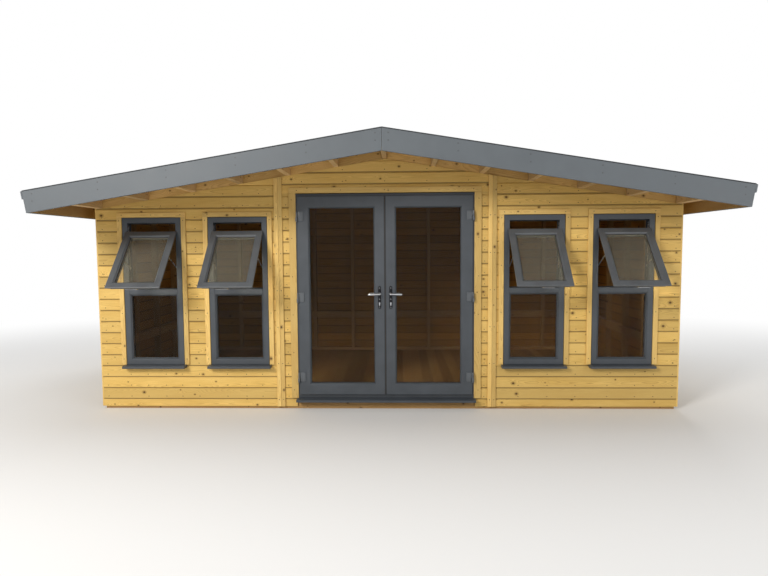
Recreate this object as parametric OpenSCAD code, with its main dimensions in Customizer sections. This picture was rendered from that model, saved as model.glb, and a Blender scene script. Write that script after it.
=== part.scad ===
// Timber garden office with a low apex roof, a front canopy, French doors and
// four tall windows whose top sashes stand open on friction stays.
// Millimetres. The front faces -Y, and the origin is on the ground, centred
// under the roof.

/* [Building] */
// Width over the corner strips
room_w = 5870; // [5700:10:6600]
// Depth over the front and back cladding
room_d = 3000; // [2400:10:4200]
// Height of the wall top at the corners, above the ground
eaves_h = 2050; // [2050:5:2400]
// Slope of the roof in degrees
roof_pitch = 9.2; // [8:0.1:14]

/* [Base] */
// Height of the bearers
bearer_h = 63; // [45:1:100]
// Width of one bearer
bearer_w = 45; // [38:1:95]
// Number of bearers
bearer_n = 8; // [5:1:12]
// Thickness of the floor boards
floor_t = 22; // [16:1:28]
// Gap between the ground and the lowest board
clad_gap = 27; // [10:1:60]

/* [Walls] */
// Thickness of the cladding boards
clad_t = 15; // [11:1:22]
// Depth of the studs behind the cladding
stud_d = 70; // [45:1:95]
// Face width of a stud
stud_w = 45; // [35:1:60]
// Widest stud spacing
stud_step = 600; // [350:10:620]
// Height of the mid rail
rail_h = 95; // [45:1:120]
// Height of the mid rail's lower edge above the floor
rail_z = 500; // [400:10:1200]
// Depth of the lintel over the door
lintel_h = 75; // [45:1:100]
// Width of the wall between the doorway and a panel joint
door_side_w = 165; // [140:5:200]

/* [Cover strips] */
// Thickness of the cover strips
strip_t = 15; // [8:1:22]
// Width of a corner strip on the side wall
corner_strip_w = 45; // [30:1:70]
// Width of one strip beside a panel joint
joint_strip_w = 40; // [25:1:50]
// Width of the strips round a window
window_strip_w = 47; // [30:1:52]
// Width of the strips round the door
door_strip_w = 56; // [30:1:70]
// Gap between two strips that meet
strip_gap = 1.5; // [0.5:0.5:4]

/* [Roof] */
// How far the roof reaches past the front wall
canopy_d = 800; // [500:10:1000]
// How far the roof reaches past the back wall
back_overhang = 100; // [60:5:300]
// How far the roof boards reach past the side walls
side_overhang = 210; // [100:5:300]
// Depth of a purlin
purlin_d = 120; // [95:1:150]
// Width of a purlin
purlin_w = 45; // [38:1:60]
// Purlins on each side of the ridge
purlin_n = 6; // [4:1:8]
// Thickness of the roof boards
roof_board_t = 18; // [12:1:25]
// Thickness of the roof covering
sheet_t = 4; // [2:0.5:8]
// Depth of the fascia boards
fascia_d = 190; // [150:1:225]
// Thickness of the fascia boards
fascia_t = 20; // [14:1:28]
// How far the drip trim stands off the eaves
drip_w = 12; // [10:1:35]
// Height of the drip trim
drip_h = 70; // [40:1:100]
// Thickness of the drip trim's lip
drip_t = 6; // [4:1:9]

/* [Windows] */
// Gap between the two windows of a pair
window_gap = 275; // [240:5:300]
// Gap between the panel joint and the inner window
window_inset = 115; // [112:1:140]
// Gap between the outer window and the side wall's face
window_corner = 275; // [220:5:300]
// Height of the window frames' lower edge above the ground
window_z = 460; // [420:5:500]
// Gap between the window frames and the wall top at the corners
window_head_gap = 90; // [85:5:140]
// Face width of the window frame
frame_face = 55; // [45:1:70]
// Face width of the transom
transom_face = 52; // [45:1:75]
// Depth of the window frame
window_d = 70; // [60:1:80]
// How far window and door frames stand off the cladding
frame_proud = 10; // [0:1:15]
// Width of the sloped glazing bead
bead_w = 14; // [8:1:16]
// How far the glass lies behind the face of its window or leaf
glass_set = 20; // [18:1:24]
// Thickness of the double glazing
glass_t = 24; // [20:1:26]
// How deep the glass sits in its groove
glass_bite = 12; // [8:1:15]
// Width of the stops behind the sashes and the leaves
stop_w = 12; // [8:1:16]
// Bevel along the edges of frames, sashes and leaves
edge_bevel = 3; // [1:0.5:5]

/* [Open sashes] */
// Angle that the top sashes stand open
sash_angle = 40; // [30:1:50]
// How far the open sash has slid down its stays
sash_drop = 108; // [90:1:130]
// Face width of the sash
sash_face = 70; // [60:1:80]
// How far the sash covers the frame
sash_lap = 16; // [10:1:20]
// Thickness of the front flange of a sash or a leaf
flange_t = 14; // [10:1:16]
// Depth of the sash behind its flange
sash_d = 46; // [44:1:56]
// Room between the sash and the frame
sash_gap = 12; // [10:0.5:14]
// Width of a stay bar
stay_w = 14; // [10:1:18]
// Distance from the sash's top to the stay's upper pivot
stay_top = 60; // [50:5:80]
// Distance between the two pivots on the sash
stay_reach = 240; // [180:5:280]
// Height of the arm's pivot on the sash above its foot
arm_rise = 120; // [100:5:160]
// Length of a sash handle
handle_l = 110; // [90:5:130]

/* [Cills] */
// Thickness of the cills
cill_t = 30; // [22:1:40]
// How far the cills stand off the cladding
cill_nose = 80; // [50:1:110]
// How far a cill reaches past its frame at each end
cill_horn = 20; // [10:1:40]
// How far a cill falls toward its nose
cill_fall = 8; // [4:1:12]
// Thickness of a cill's top and lip
cill_lip = 10; // [6:1:12]

/* [Doors] */
// Width of the door frame
door_w = 1800; // [1600:10:1900]
// Gap between the door frame and the roof line over the panel joints
door_head_gap = 165; // [130:5:200]
// Height of the threshold
threshold_h = 57; // [50:1:70]
// Depth of the door frame
door_frame_d = 70; // [68:1:80]
// Face width of the door frame
door_face = 45; // [40:1:60]
// How far a leaf covers its frame
leaf_lap = 18; // [12:1:22]
// Depth of a leaf behind its flange
leaf_d = 52; // [46:1:54]
// Room between a leaf and its frame
leaf_gap = 5; // [5:0.5:7]
// Gap between the leaves at their outer faces
meeting_gap = 6; // [6:0.5:10]
// How much each leaf's meeting edge is bevelled
meeting_bevel = 4; // [4:0.5:8]
// Face width of a leaf's hinge stile and top rail
stile_w = 118; // [105:1:140]
// Face width of a leaf's lock stile
lock_stile_w = 107; // [95:1:130]
// Face height of a leaf's bottom rail
bottom_rail_h = 118; // [105:1:200]

/* [Door furniture] */
// Height of the lever handles above the floor
lever_z = 1095; // [950:5:1150]
// Length of a lever from its spindle
lever_l = 115; // [90:1:130]
// Radius of a lever's neck
neck_r = 9; // [7:0.5:11]
// Distance from the leaf to the middle of a lever
lever_off = 48; // [38:1:60]
// Width of a handle plate
plate_w = 30; // [24:1:40]
// Height of a handle plate
plate_h = 220; // [180:1:250]
// Thickness of a handle plate
plate_t = 9; // [5:1:12]
// Distance from a lever down to its key cylinder
key_drop = 92; // [70:1:92]
// Radius of a key cylinder
key_r = 8.5; // [7:0.5:9]
// Radius of a hinge knuckle
knuckle_r = 9; // [8:0.5:10]
// Radius of a hinge pin
pin_r = 4; // [3:0.5:5]
// Room between a hinge knuckle and its leaf
pin_gap = 5; // [5:0.5:8]
// Height of one hinge
hinge_h = 76; // [60:1:110]
// Distance from a leaf's ends to the middle of its outer hinges
hinge_end = 190; // [120:5:250]
// Width of one hinge flag
flag_w = 44; // [30:1:50]
// Thickness of a hinge flag
flag_t = 4; // [3:0.5:6]

/* [Hidden] */
$fn = 32;
eps = 0.01;
// Room that pieces on one body leave at a seat
seat = 0.3;

// Plan of the walls
clad_x = room_w / 2 - strip_t;
frame_x = clad_x - clad_t;
roof_front = -(canopy_d + room_d + back_overhang) / 2;
roof_back = -roof_front;
wall_front = roof_front + canopy_d;
wall_back = wall_front + room_d;
frame_front = wall_front + clad_t;
frame_back = wall_back - clad_t;

// Heights
floor_top = bearer_h + floor_t;
pitch_rise = tan(roof_pitch);
board_top = purlin_d + roof_board_t;
fascia_drop = fascia_d / cos(roof_pitch);
roof_half = room_w / 2 + side_overhang;
purlin_step = (frame_x - purlin_w / 2) / purlin_n;

// Room round the frames in their openings
fit_gap = 3;
post_gap = 5;

// Doorway
opening_half = door_w / 2 + post_gap;
joint_x = opening_half + door_side_w;
door_z = floor_top + cill_t;
door_top = under(joint_x) - door_head_gap;
face_y = wall_front - frame_proud;
door_low = door_z + threshold_h;
door_high = door_top - door_face;
door_half = door_w / 2 - door_face;

// Leaves
leaf_face = face_y - leaf_gap - flange_t;
leaf_back = leaf_face + flange_t + leaf_d;
leaf_edge = door_half + leaf_lap;
leaf_low = door_low - leaf_lap;
leaf_high = door_high + leaf_lap;
leaf_meet = meeting_gap / 2;
glass_low = leaf_low + bottom_rail_h;
glass_high = leaf_high - stile_w;
glass_left = leaf_meet + lock_stile_w;
glass_right = leaf_edge - stile_w;

// Door furniture
spindle_x = leaf_meet + lock_stile_w / 2;
spindle_z = floor_top + lever_z;
spindle_r = 5;
spindle_room = 3;
grip_r = 8;
grip_drop = 4;
pin_x = leaf_edge + 4;
pin_y = leaf_face - knuckle_r - pin_gap;
hinge_levels = [leaf_low + hinge_end, (leaf_low + leaf_high) / 2, leaf_high - hinge_end];

// Windows
window_w = (room_w / 2 - window_corner - joint_x - window_inset - window_gap) / 2;
window_top = eaves_h - window_head_gap;
window_xs = [
    joint_x + window_inset + window_w / 2,
    room_w / 2 - window_corner - window_w / 2
];
transom_z = (window_z + window_top) / 2;
cill_z = window_z - cill_t;
pane_w = window_w - 2 * frame_face;
pane_low = window_z + frame_face + bead_w;
pane_high = transom_z - transom_face / 2 - bead_w;

// Vents and their open sashes
vent_w = window_w - 2 * frame_face;
vent_low = transom_z + transom_face / 2;
vent_high = window_top - frame_face;
sash_w = vent_w + 2 * sash_lap;
sash_h = vent_high - vent_low + 2 * sash_lap;
sash_top_z = vent_high + sash_lap - sash_drop;
sash_body = sash_lap + sash_gap;
sash_off = 2;

// Stays: four layers fill the room between the frame and the sash
stay_t = sash_gap / 4;
stay_depth = 20;
track_y = 30;
track_end = 15;
slider_rise = 40;

// Height of the purlins' lower face over a place across the building
function under(x) = eaves_h + (clad_x - abs(x)) * pitch_rise;

// Extrudes an outline drawn in X and Z from y0 to y1
module along_y(y0, y1)
    translate([0, y1, 0]) rotate([90, 0, 0]) linear_extrude(y1 - y0) children();

// Extrudes an outline drawn in Y and Z from x0 to x1
module along_x(x0, x1)
    translate([x0, 0, 0]) rotate([90, 0, 90]) linear_extrude(x1 - x0) children();

module box(low, high) translate(low) cube(high - low);

module rect(low, high) polygon([low, [high[0], low[1]], high, [low[0], high[1]]]);

module left_hand() mirror([1, 0, 0]) children();

module both_hands() {
    children();
    mirror([1, 0, 0]) children();
}

// Right-hand area from z0 up to the roof line, moved down by drop
module below_roof(x0, x1, z0, drop = 0)
    polygon([[x0, z0], [x1, z0], [x1, under(x1) - drop], [x0, under(x0) - drop]]);

// Right-hand band that follows the roof between two heights over the purlins' foot
module roof_band(x0, x1, low, high)
    polygon([
        [x0, under(x0) + low], [x1, under(x1) + low],
        [x1, under(x1) + high], [x0, under(x0) + high]
    ]);

// Place of an end that is cut square to the slope, from its place at the roof boards' top
function square_x(x, height) = x - (board_top - height) * cos(roof_pitch) * sin(roof_pitch);

// Right-hand band between two heights, plumb at its inner end and square at its outer end
module square_end_band(x0, x1, low, high) {
    low_x = square_x(x1, low);
    high_x = square_x(x1, high);
    polygon([
        [x0, under(x0) + low], [low_x, under(low_x) + low],
        [high_x, under(high_x) + high], [x0, under(x0) + high]
    ]);
}

// Right-hand band between two heights, square to the slope at both ends
module square_band(x0, x1, low, high)
    polygon([
        for (corner = [[x0, low], [x1, low], [x1, high], [x0, high]])
            let (x = square_x(corner[0], corner[1])) [x, under(x) + corner[1]]
    ]);

// Band that follows the whole roof from side to side
module gable_band(half, low, high)
    polygon([
        [-half, under(half) + low], [0, under(0) + low], [half, under(half) + low],
        [half, under(half) + high], [0, under(0) + high], [-half, under(half) + high]
    ]);

// Whole gable outline from side to side
module gable(half, z0)
    polygon([
        [-half, z0], [half, z0], [half, under(half)], [0, under(0)], [-half, under(half)]
    ]);

// Cutter with four sloped sides: w by h at its narrow back, wider by grow at its front
module splayed_hole(w, h, depth, grow)
    intersection() {
        translate([0, 0, -h / 2 - grow]) linear_extrude(h + 2 * grow)
            polygon([
                [-w / 2, depth], [w / 2, depth], [w / 2 + grow, 0], [-w / 2 - grow, 0]
            ]);
        along_x(-w / 2 - grow, w / 2 + grow)
            polygon([[depth, -h / 2], [depth, h / 2], [0, h / 2 + grow], [0, -h / 2 - grow]]);
    }

// Slab between two corners, with its four front edges bevelled
module bevelled_slab(low, high)
    intersection() {
        translate([0, 0, low[2]]) linear_extrude(high[2] - low[2])
            polygon([
                [low[0], high[1]], [high[0], high[1]], [high[0], low[1] + edge_bevel],
                [high[0] - edge_bevel, low[1]], [low[0] + edge_bevel, low[1]],
                [low[0], low[1] + edge_bevel]
            ]);
        along_x(low[0], high[0])
            polygon([
                [high[1], low[2]], [high[1], high[2]], [low[1] + edge_bevel, high[2]],
                [low[1], high[2] - edge_bevel], [low[1], low[2] + edge_bevel],
                [low[1] + edge_bevel, low[2]]
            ]);
    }

// Through hole between two corners, with its front edges bevelled at y = 0
module bevelled_hole(low, high) {
    mid = (low + high) / 2;
    box([low[0], -eps, low[2]], high);
    translate([mid[0], -eps, mid[2]])
        splayed_hole(high[0] - low[0], high[2] - low[2], edge_bevel, edge_bevel);
}

// Base

module floor_bearers() color("#8a8350") {
    run = room_d - 2 * clad_t - bearer_w;
    for (i = [0 : bearer_n - 1])
        translate([-frame_x, frame_front + i * run / (bearer_n - 1), 0])
            cube([2 * frame_x, bearer_w, bearer_h]);
}

module floor_boards() color("#b59a63")
    box([-frame_x, frame_front, bearer_h], [frame_x, frame_back, floor_top]);

// Cladding

module window_holes_2d()
    for (x = window_xs)
        rect([x - window_w / 2 - fit_gap, cill_z - eps],
             [x + window_w / 2 + fit_gap, window_top + fit_gap]);

module front_panel_cladding()
    along_y(wall_front, frame_front) difference() {
        below_roof(joint_x, clad_x, clad_gap);
        window_holes_2d();
    }

module front_cladding_right() color("#c2a35e") front_panel_cladding();

module front_cladding_left() color("#c2a35e") left_hand() front_panel_cladding();

module front_cladding_beside_door() color("#c2a35e")
    both_hands()
        box([opening_half, wall_front, clad_gap], [joint_x, frame_front, door_top + post_gap]);

module front_cladding_over_door() color("#c2a35e")
    along_y(wall_front, frame_front) gable(joint_x, door_top + post_gap);

module back_cladding() color("#c2a35e")
    along_y(frame_back, wall_back) gable(clad_x, clad_gap);

module side_cladding()
    along_y(frame_front, frame_back)
        below_roof(frame_x, clad_x, clad_gap, seat - purlin_d);

module right_cladding() color("#c2a35e") side_cladding();

module left_cladding() color("#c2a35e") left_hand() side_cladding();

// Framing

module front_panel_studs() {
    jamb = window_w / 2 + post_gap;
    along_y(frame_front, frame_front + stud_d) {
        roof_band(joint_x, frame_x, -stud_w, 0);
        intersection() {
            below_roof(joint_x, frame_x, floor_top);
            union() {
                rect([joint_x, floor_top], [frame_x, floor_top + stud_w]);
                rect([joint_x, floor_top], [joint_x + stud_w, under(0)]);
                rect([frame_x - stud_w, floor_top], [frame_x, under(0)]);
                for (x = window_xs) {
                    rect([x - jamb - stud_w, floor_top], [x - jamb, under(0)]);
                    rect([x + jamb, floor_top], [x + jamb + stud_w, under(0)]);
                    rect([x - jamb, cill_z - stud_w], [x + jamb, cill_z]);
                    rect([x - jamb, window_top + post_gap],
                         [x + jamb, window_top + post_gap + stud_w]);
                }
            }
        }
    }
}

module front_studs_right() color("#a8935a") front_panel_studs();

module front_studs_left() color("#a8935a") left_hand() front_panel_studs();

module door_posts() color("#a8935a")
    both_hands()
        along_y(frame_front, frame_front + stud_d) {
            rect([opening_half, floor_top], [joint_x, floor_top + stud_w]);
            rect([opening_half, floor_top], [opening_half + stud_w, door_top + post_gap]);
            rect([joint_x - stud_w, floor_top], [joint_x, door_top + post_gap]);
        }

module door_head_frame() color("#a8935a")
    along_y(frame_front, frame_front + stud_d)
        intersection() {
            gable(joint_x, door_top + post_gap);
            union() {
                rect([-joint_x, door_top + post_gap],
                     [joint_x, door_top + post_gap + lintel_h]);
                for (x = [-joint_x, -stud_w / 2, joint_x - stud_w])
                    rect([x, door_top], [x + stud_w, under(0)]);
                gable_band(joint_x, -stud_w, 0);
            }
        }

// Studs, plates and a mid rail across a wall that is length wide, starting at 0
module lattice_2d(length, top) {
    bays = ceil((length - stud_w) / stud_step);
    step = (length - stud_w) / bays;
    for (i = [0 : bays]) rect([i * step, floor_top], [i * step + stud_w, top]);
    rect([0, floor_top], [length, floor_top + stud_w]);
    rect([0, floor_top + rail_z], [length, floor_top + rail_z + rail_h]);
}

module back_studs() color("#a8935a")
    along_y(frame_back - stud_d, frame_back) {
        intersection() {
            gable(frame_x, floor_top);
            translate([-frame_x, 0]) lattice_2d(2 * frame_x, under(0));
        }
        gable_band(frame_x, -stud_w, 0);
    }

module side_studs() {
    y0 = frame_front + stud_d;
    y1 = frame_back - stud_d;
    top = under(frame_x - stud_d);
    intersection() {
        along_y(y0, y1) below_roof(frame_x - stud_d, frame_x, floor_top);
        along_x(frame_x - stud_d, frame_x) {
            translate([y0, 0]) lattice_2d(y1 - y0, top);
            rect([y0, under(frame_x) - stud_w], [y1, top]);
        }
    }
}

module right_studs() color("#a8935a") side_studs();

module left_studs() color("#a8935a") left_hand() side_studs();

// Cover strips and trims

module cover_strips() color("#c8ab68")
    both_hands() {
        for (y = [wall_front, wall_back - corner_strip_w])
            along_y(y, y + corner_strip_w)
                below_roof(clad_x, clad_x + strip_t, clad_gap, seat - purlin_d);
        for (x = [joint_x - strip_gap / 2 - joint_strip_w, joint_x + strip_gap / 2])
            along_y(wall_front - strip_t, wall_front)
                below_roof(x, x + joint_strip_w, clad_gap);
    }

// Strips at both sides and over an opening, drawn in X and Z
module trim_2d(half, low, top, strip_w)
    difference() {
        rect([-half - strip_w, low], [half + strip_w, top + strip_w]);
        rect([-half, low - eps], [half, top]);
    }

module window_trims() color("#c8ab68")
    both_hands()
        for (x = window_xs) translate([x, 0, 0])
            along_y(wall_front - strip_t, wall_front)
                trim_2d(window_w / 2 + fit_gap, window_z + seat, window_top + fit_gap,
                        window_strip_w);

module door_trims() color("#c8ab68")
    along_y(wall_front - strip_t, wall_front)
        trim_2d(opening_half, door_z + seat, door_top + post_gap, door_strip_w);

// Windows

// One frame, centred on X, with its front face at y = 0
module window_frame() {
    light_low = window_z + frame_face;
    light_high = transom_z - transom_face / 2;
    lip = sash_lap / 2;
    difference() {
        bevelled_slab([-window_w / 2, 0, window_z], [window_w / 2, window_d, window_top]);
        // Vent, open from front to back, with a stop at its back
        bevelled_hole([-vent_w / 2, 0, vent_low], [vent_w / 2, window_d - stop_w, vent_high]);
        box([-vent_w / 2 + lip, 0, vent_low + lip],
            [vent_w / 2 - lip, window_d + eps, vent_high - lip]);
        // Fixed light with a sloped bead on its front
        box([-pane_w / 2 + bead_w, -eps, pane_low],
            [pane_w / 2 - bead_w, window_d + eps, pane_high]);
        translate([0, -eps, (light_low + light_high) / 2])
            splayed_hole(pane_w - 2 * bead_w, pane_high - pane_low, bead_w, bead_w);
        pane_box();
    }
}

module pane_box()
    box([-pane_w / 2 + bead_w - glass_bite, glass_set, pane_low - glass_bite],
        [pane_w / 2 - bead_w + glass_bite, glass_set + glass_t, pane_high + glass_bite]);

module at_windows() both_hands() for (x = window_xs) translate([x, face_y, 0]) children();

module window_frames() color("#3c4248") at_windows() window_frame();

module window_panes() color("#9fb4ba") at_windows() pane_box();

// Sash in its own frame: its top rear flange edge lies on the X axis, and it hangs down
module sash() {
    hole_w = sash_w - 2 * sash_face;
    hole_h = sash_h - 2 * sash_face;
    difference() {
        union() {
            bevelled_slab([-sash_w / 2, -flange_t, -sash_h], [sash_w / 2, 0, 0]);
            box([-sash_w / 2 + sash_body, -eps, -sash_h + sash_body],
                [sash_w / 2 - sash_body, sash_d, -sash_body]);
        }
        translate([0, -flange_t - eps, -sash_h / 2])
            splayed_hole(hole_w, hole_h, bead_w, bead_w);
        box([-hole_w / 2, -flange_t, -sash_h + sash_face],
            [hole_w / 2, sash_d + eps, -sash_face]);
        sash_pane_box();
    }
}

module sash_pane_box() {
    front = glass_set - flange_t;
    box([-sash_w / 2 + sash_face - glass_bite, front, -sash_h + sash_face - glass_bite],
        [sash_w / 2 - sash_face + glass_bite, front + glass_t, -sash_face + glass_bite]);
}

// Puts the sash at the place that its stays hold it in
module sash_open()
    translate([0, -sash_off, sash_top_z]) rotate([-sash_angle, 0, 0]) children();

module window_sashes() color("#5a6066") at_windows() sash_open() sash();

module sash_panes() color("#9fb4ba") at_windows() sash_open() sash_pane_box();

// Handle on the inside of the sash's bottom rail
module sash_handle() {
    base_w = 26;
    base_t = 8;
    neck = 7;
    rise = 32;
    translate([0, sash_d, -sash_h + (sash_body + sash_face) / 2]) {
        box([-base_w, 0, -base_w / 2], [base_w, base_t, base_w / 2]);
        rotate([-90, 0, 0]) cylinder(r = neck, h = rise + neck);
        bevelled_grip([-neck, rise - neck / 2, -neck], [handle_l, rise + neck, neck]);
    }
}

// Bar along X whose four long edges are bevelled
module bevelled_grip(low, high)
    along_x(low[0], high[0])
        polygon([
            [low[1] + edge_bevel, low[2]], [high[1] - edge_bevel, low[2]],
            [high[1], low[2] + edge_bevel], [high[1], high[2] - edge_bevel],
            [high[1] - edge_bevel, high[2]], [low[1] + edge_bevel, high[2]],
            [low[1], high[2] - edge_bevel], [low[1], low[2] + edge_bevel]
        ]);

module sash_handles() color("silver") at_windows() sash_open() sash_handle();

// Place on the sash's side, in Y and Z: down from its top and behind its flange
function on_sash(down) = [
    -sash_off - down * sin(sash_angle) + stay_depth * cos(sash_angle),
    sash_top_z - down * cos(sash_angle) - stay_depth * sin(sash_angle)
];

// Flat bar between two places in Y and Z, in one of the four layers off the jamb
module stay_bar(layer, a, b) {
    run = b - a;
    x1 = vent_w / 2 - layer * stay_t;
    along_x(x1 - stay_t, x1)
        translate(a) rotate(atan2(run[1], run[0])) {
            translate([0, -stay_w / 2]) square([norm(run), stay_w]);
            circle(stay_w / 2);
            translate([norm(run), 0]) circle(stay_w / 2);
        }
}

// Pivot between two layers
module stay_pivot(first, last, at)
    translate([vent_w / 2 - (last + 1) * stay_t, at[0], at[1]])
        rotate([0, 90, 0]) cylinder(r = stay_w / 3, h = (last - first + 1) * stay_t);

// Friction stay on the right jamb: a track with its slider, two arms and a bar on the sash
module stay() {
    upper = on_sash(stay_top);
    lower = on_sash(stay_top + stay_reach);
    slider = [track_y, upper[1] + slider_rise];
    foot = [track_y, lower[1] - arm_rise];
    stay_bar(0, [track_y, foot[1] - track_end], [track_y, vent_high - 2 * track_end]);
    stay_bar(1, slider - [0, track_end], slider + [0, track_end]);
    stay_bar(2, slider, upper);
    stay_bar(2, foot, lower);
    stay_bar(3, on_sash(stay_top - track_end), on_sash(stay_top + stay_reach + track_end));
    stay_pivot(0, 2, slider);
    stay_pivot(0, 2, foot);
    stay_pivot(2, 3, upper);
    stay_pivot(2, 3, lower);
}

module window_stays() color("silver") at_windows() both_hands() stay();

// Cill profile in Y and Z: a sloped top, a nose with a lip, and a leg at the wall
module cill_2d(back_y) {
    hollow_z = -cill_fall - cill_lip;
    polygon([
        [-cill_nose, -cill_t], [-cill_nose, -cill_fall], [-frame_proud, 0], [back_y, 0],
        [back_y, -cill_t], [-cill_lip, -cill_t], [-cill_lip, hollow_z],
        [-cill_nose + cill_lip, hollow_z], [-cill_nose + cill_lip, -cill_t]
    ]);
}

module cill(width, back_y) {
    end = width / 2 + cill_horn;
    intersection() {
        along_x(-end, end) cill_2d(back_y);
        union() {
            box([-width / 2, -cill_nose, -cill_t], [width / 2, back_y, 0]);
            box([-end, -cill_nose, -cill_t], [end, 0, 0]);
        }
    }
}

module window_cills() color("#3c4248")
    both_hands()
        for (x = window_xs) translate([x, wall_front, window_z])
            cill(window_w, window_d - frame_proud);

// Doors

module door_cill() color("#3c4248")
    translate([0, wall_front, door_z]) cill(door_w, door_frame_d - frame_proud);

module door_frame() color("#3c4248") {
    leaf_room = leaf_back - face_y + leaf_gap;
    translate([0, face_y, 0]) difference() {
        bevelled_slab([-door_w / 2, 0, door_z], [door_w / 2, door_frame_d, door_top]);
        bevelled_hole([-door_half, 0, door_low], [door_half, leaf_room, door_high]);
        box([-door_half + stop_w, 0, door_low + stop_w],
            [door_half - stop_w, door_frame_d + eps, door_high - stop_w]);
    }
}

// The right leaf at rest: a flange over the frame and a body within it
module leaf() {
    back_meet = leaf_meet + meeting_bevel;
    body_edge = door_half - leaf_gap;
    difference() {
        union() {
            bevelled_slab([leaf_meet, leaf_face, leaf_low],
                          [leaf_edge, leaf_face + flange_t, leaf_high]);
            translate([0, 0, door_low + leaf_gap])
                linear_extrude(door_high - door_low - 2 * leaf_gap)
                    polygon([
                        [leaf_meet, leaf_face + flange_t - eps],
                        [body_edge, leaf_face + flange_t - eps],
                        [body_edge, leaf_back], [back_meet, leaf_back]
                    ]);
        }
        box([glass_left, leaf_face - eps, glass_low], [glass_right, leaf_back + eps, glass_high]);
        translate([(glass_left + glass_right) / 2, leaf_face - eps, (glass_low + glass_high) / 2])
            splayed_hole(glass_right - glass_left, glass_high - glass_low, bead_w, bead_w);
        leaf_glass();
        translate([spindle_x, leaf_back + eps, spindle_z]) rotate([90, 0, 0])
            cylinder(r = spindle_r + spindle_room, h = flange_t + leaf_d + 2 * eps);
    }
}

module leaf_glass()
    box([glass_left - glass_bite, leaf_face + glass_set, glass_low - glass_bite],
        [glass_right + glass_bite, leaf_face + glass_set + glass_t, glass_high + glass_bite]);

// Handle plate on one face of the leaf, with its key cylinder below the lever
module handle_plate() {
    rise = plate_h * 0.36;
    key_stand = 4;
    difference() {
        union() {
            hull()
                for (z = [rise - plate_w / 2, rise - plate_h + plate_w / 2])
                    translate([0, 0, z]) rotate([90, 0, 0])
                        cylinder(r = plate_w / 2, h = plate_t);
            translate([0, 0, -key_drop]) rotate([90, 0, 0])
                cylinder(r = key_r, h = plate_t + key_stand);
        }
        translate([0, eps, 0]) rotate([90, 0, 0])
            cylinder(r = neck_r + seat, h = plate_t + 2 * eps);
    }
}

// Lever of the outer face, its spindle at the origin
module lever() {
    rotate([90, 0, 0]) cylinder(r = neck_r, h = lever_off + grip_r);
    hull() {
        translate([0, -lever_off, 0]) sphere(neck_r + seat, $fn = 24);
        translate([lever_l - grip_r, -lever_off, -grip_drop]) sphere(grip_r, $fn = 24);
    }
}

// Hinge part on the leaf: a flag, a web and the upper knuckle, hollow for the pin
module leaf_hinge() {
    knuckle_z = hinge_h * 0.45;
    flag_end = pin_x - knuckle_r - flag_t;
    difference() {
        union() {
            translate([pin_x, pin_y, knuckle_z]) cylinder(r = knuckle_r, h = hinge_h - knuckle_z);
            box([pin_x - flag_w, leaf_face - flag_t, 0], [flag_end, leaf_face, hinge_h]);
            box([pin_x - flag_w, leaf_face - 2 * flag_t, knuckle_z],
                [pin_x - pin_r, leaf_face - flag_t + eps, hinge_h]);
        }
        translate([pin_x, pin_y, knuckle_z - eps])
            cylinder(r = pin_r + seat, h = hinge_h - flag_t - knuckle_z);
    }
}

// Hinge part on the frame: a block, the lower knuckle and the pin
module frame_hinge() {
    knuckle_h = hinge_h * 0.45 - 1;
    translate([pin_x, pin_y, 0]) cylinder(r = knuckle_r, h = knuckle_h);
    translate([pin_x, pin_y, 0]) cylinder(r = pin_r, h = hinge_h - 2 * flag_t);
    box([pin_x + seat, pin_y - knuckle_r / 2, 0], [door_w / 2 - edge_bevel, face_y, knuckle_h]);
}

module at_hinges()
    for (z = hinge_levels) translate([0, 0, z - hinge_h / 2]) children();

module leaf_fittings() {
    translate([spindle_x, leaf_face, spindle_z]) handle_plate();
    translate([spindle_x, leaf_back, spindle_z]) mirror([0, 1, 0]) handle_plate();
    at_hinges() leaf_hinge();
}

module leaf_lever() {
    translate([spindle_x, leaf_face - plate_t / 2, spindle_z]) rotate([-90, 0, 0])
        cylinder(r = spindle_r, h = flange_t + leaf_d + plate_t);
    translate([spindle_x, leaf_face - seat, spindle_z]) lever();
    translate([spindle_x, leaf_back + seat, spindle_z]) mirror([0, 1, 0]) lever();
}

module right_door() color("#4a5056") leaf();

module right_door_glass() color("#9fb4ba") leaf_glass();

module right_door_fittings() color("silver") leaf_fittings();

module right_door_lever() color("silver") leaf_lever();

module left_door() color("#4a5056") left_hand() leaf();

module left_door_glass() color("#9fb4ba") left_hand() leaf_glass();

module left_door_fittings() color("silver") left_hand() leaf_fittings();

module left_door_lever() color("silver") left_hand() leaf_lever();

module frame_hinges() color("silver") both_hands() at_hinges() frame_hinge();

// Roof

module purlins() color("#b89a5a")
    along_y(roof_front + fascia_t, roof_back - fascia_t) {
        intersection() {
            translate([-purlin_w / 2, 0]) square([purlin_w, under(0) + purlin_d]);
            gable_band(purlin_w, seat, purlin_d - seat);
        }
        for (side = [0, 1]) mirror([side, 0]) {
            for (i = [1 : purlin_n])
                roof_band(i * purlin_step - purlin_w / 2, i * purlin_step + purlin_w / 2,
                          seat, purlin_d - seat);
            square_band(roof_half - fascia_t - purlin_w, roof_half - fascia_t - seat,
                        purlin_d / 2, purlin_d - seat);
        }
    }

// Blocks between the purlins, over the front and the back wall
module purlin_blocks() color("#b89a5a")
    both_hands()
        for (y = [wall_front, wall_back - clad_t - stud_d])
            along_y(y, y + clad_t + stud_d)
                for (i = [0 : purlin_n - 1])
                    roof_band(i * purlin_step + purlin_w / 2 + seat,
                              (i + 1) * purlin_step - purlin_w / 2 - seat,
                              seat, purlin_d - seat);

module roof_boards() color("#b59458")
    both_hands()
        along_y(roof_front + fascia_t, roof_back - fascia_t)
            square_end_band(strip_gap / 2, roof_half - fascia_t - seat, purlin_d, board_top);

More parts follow.
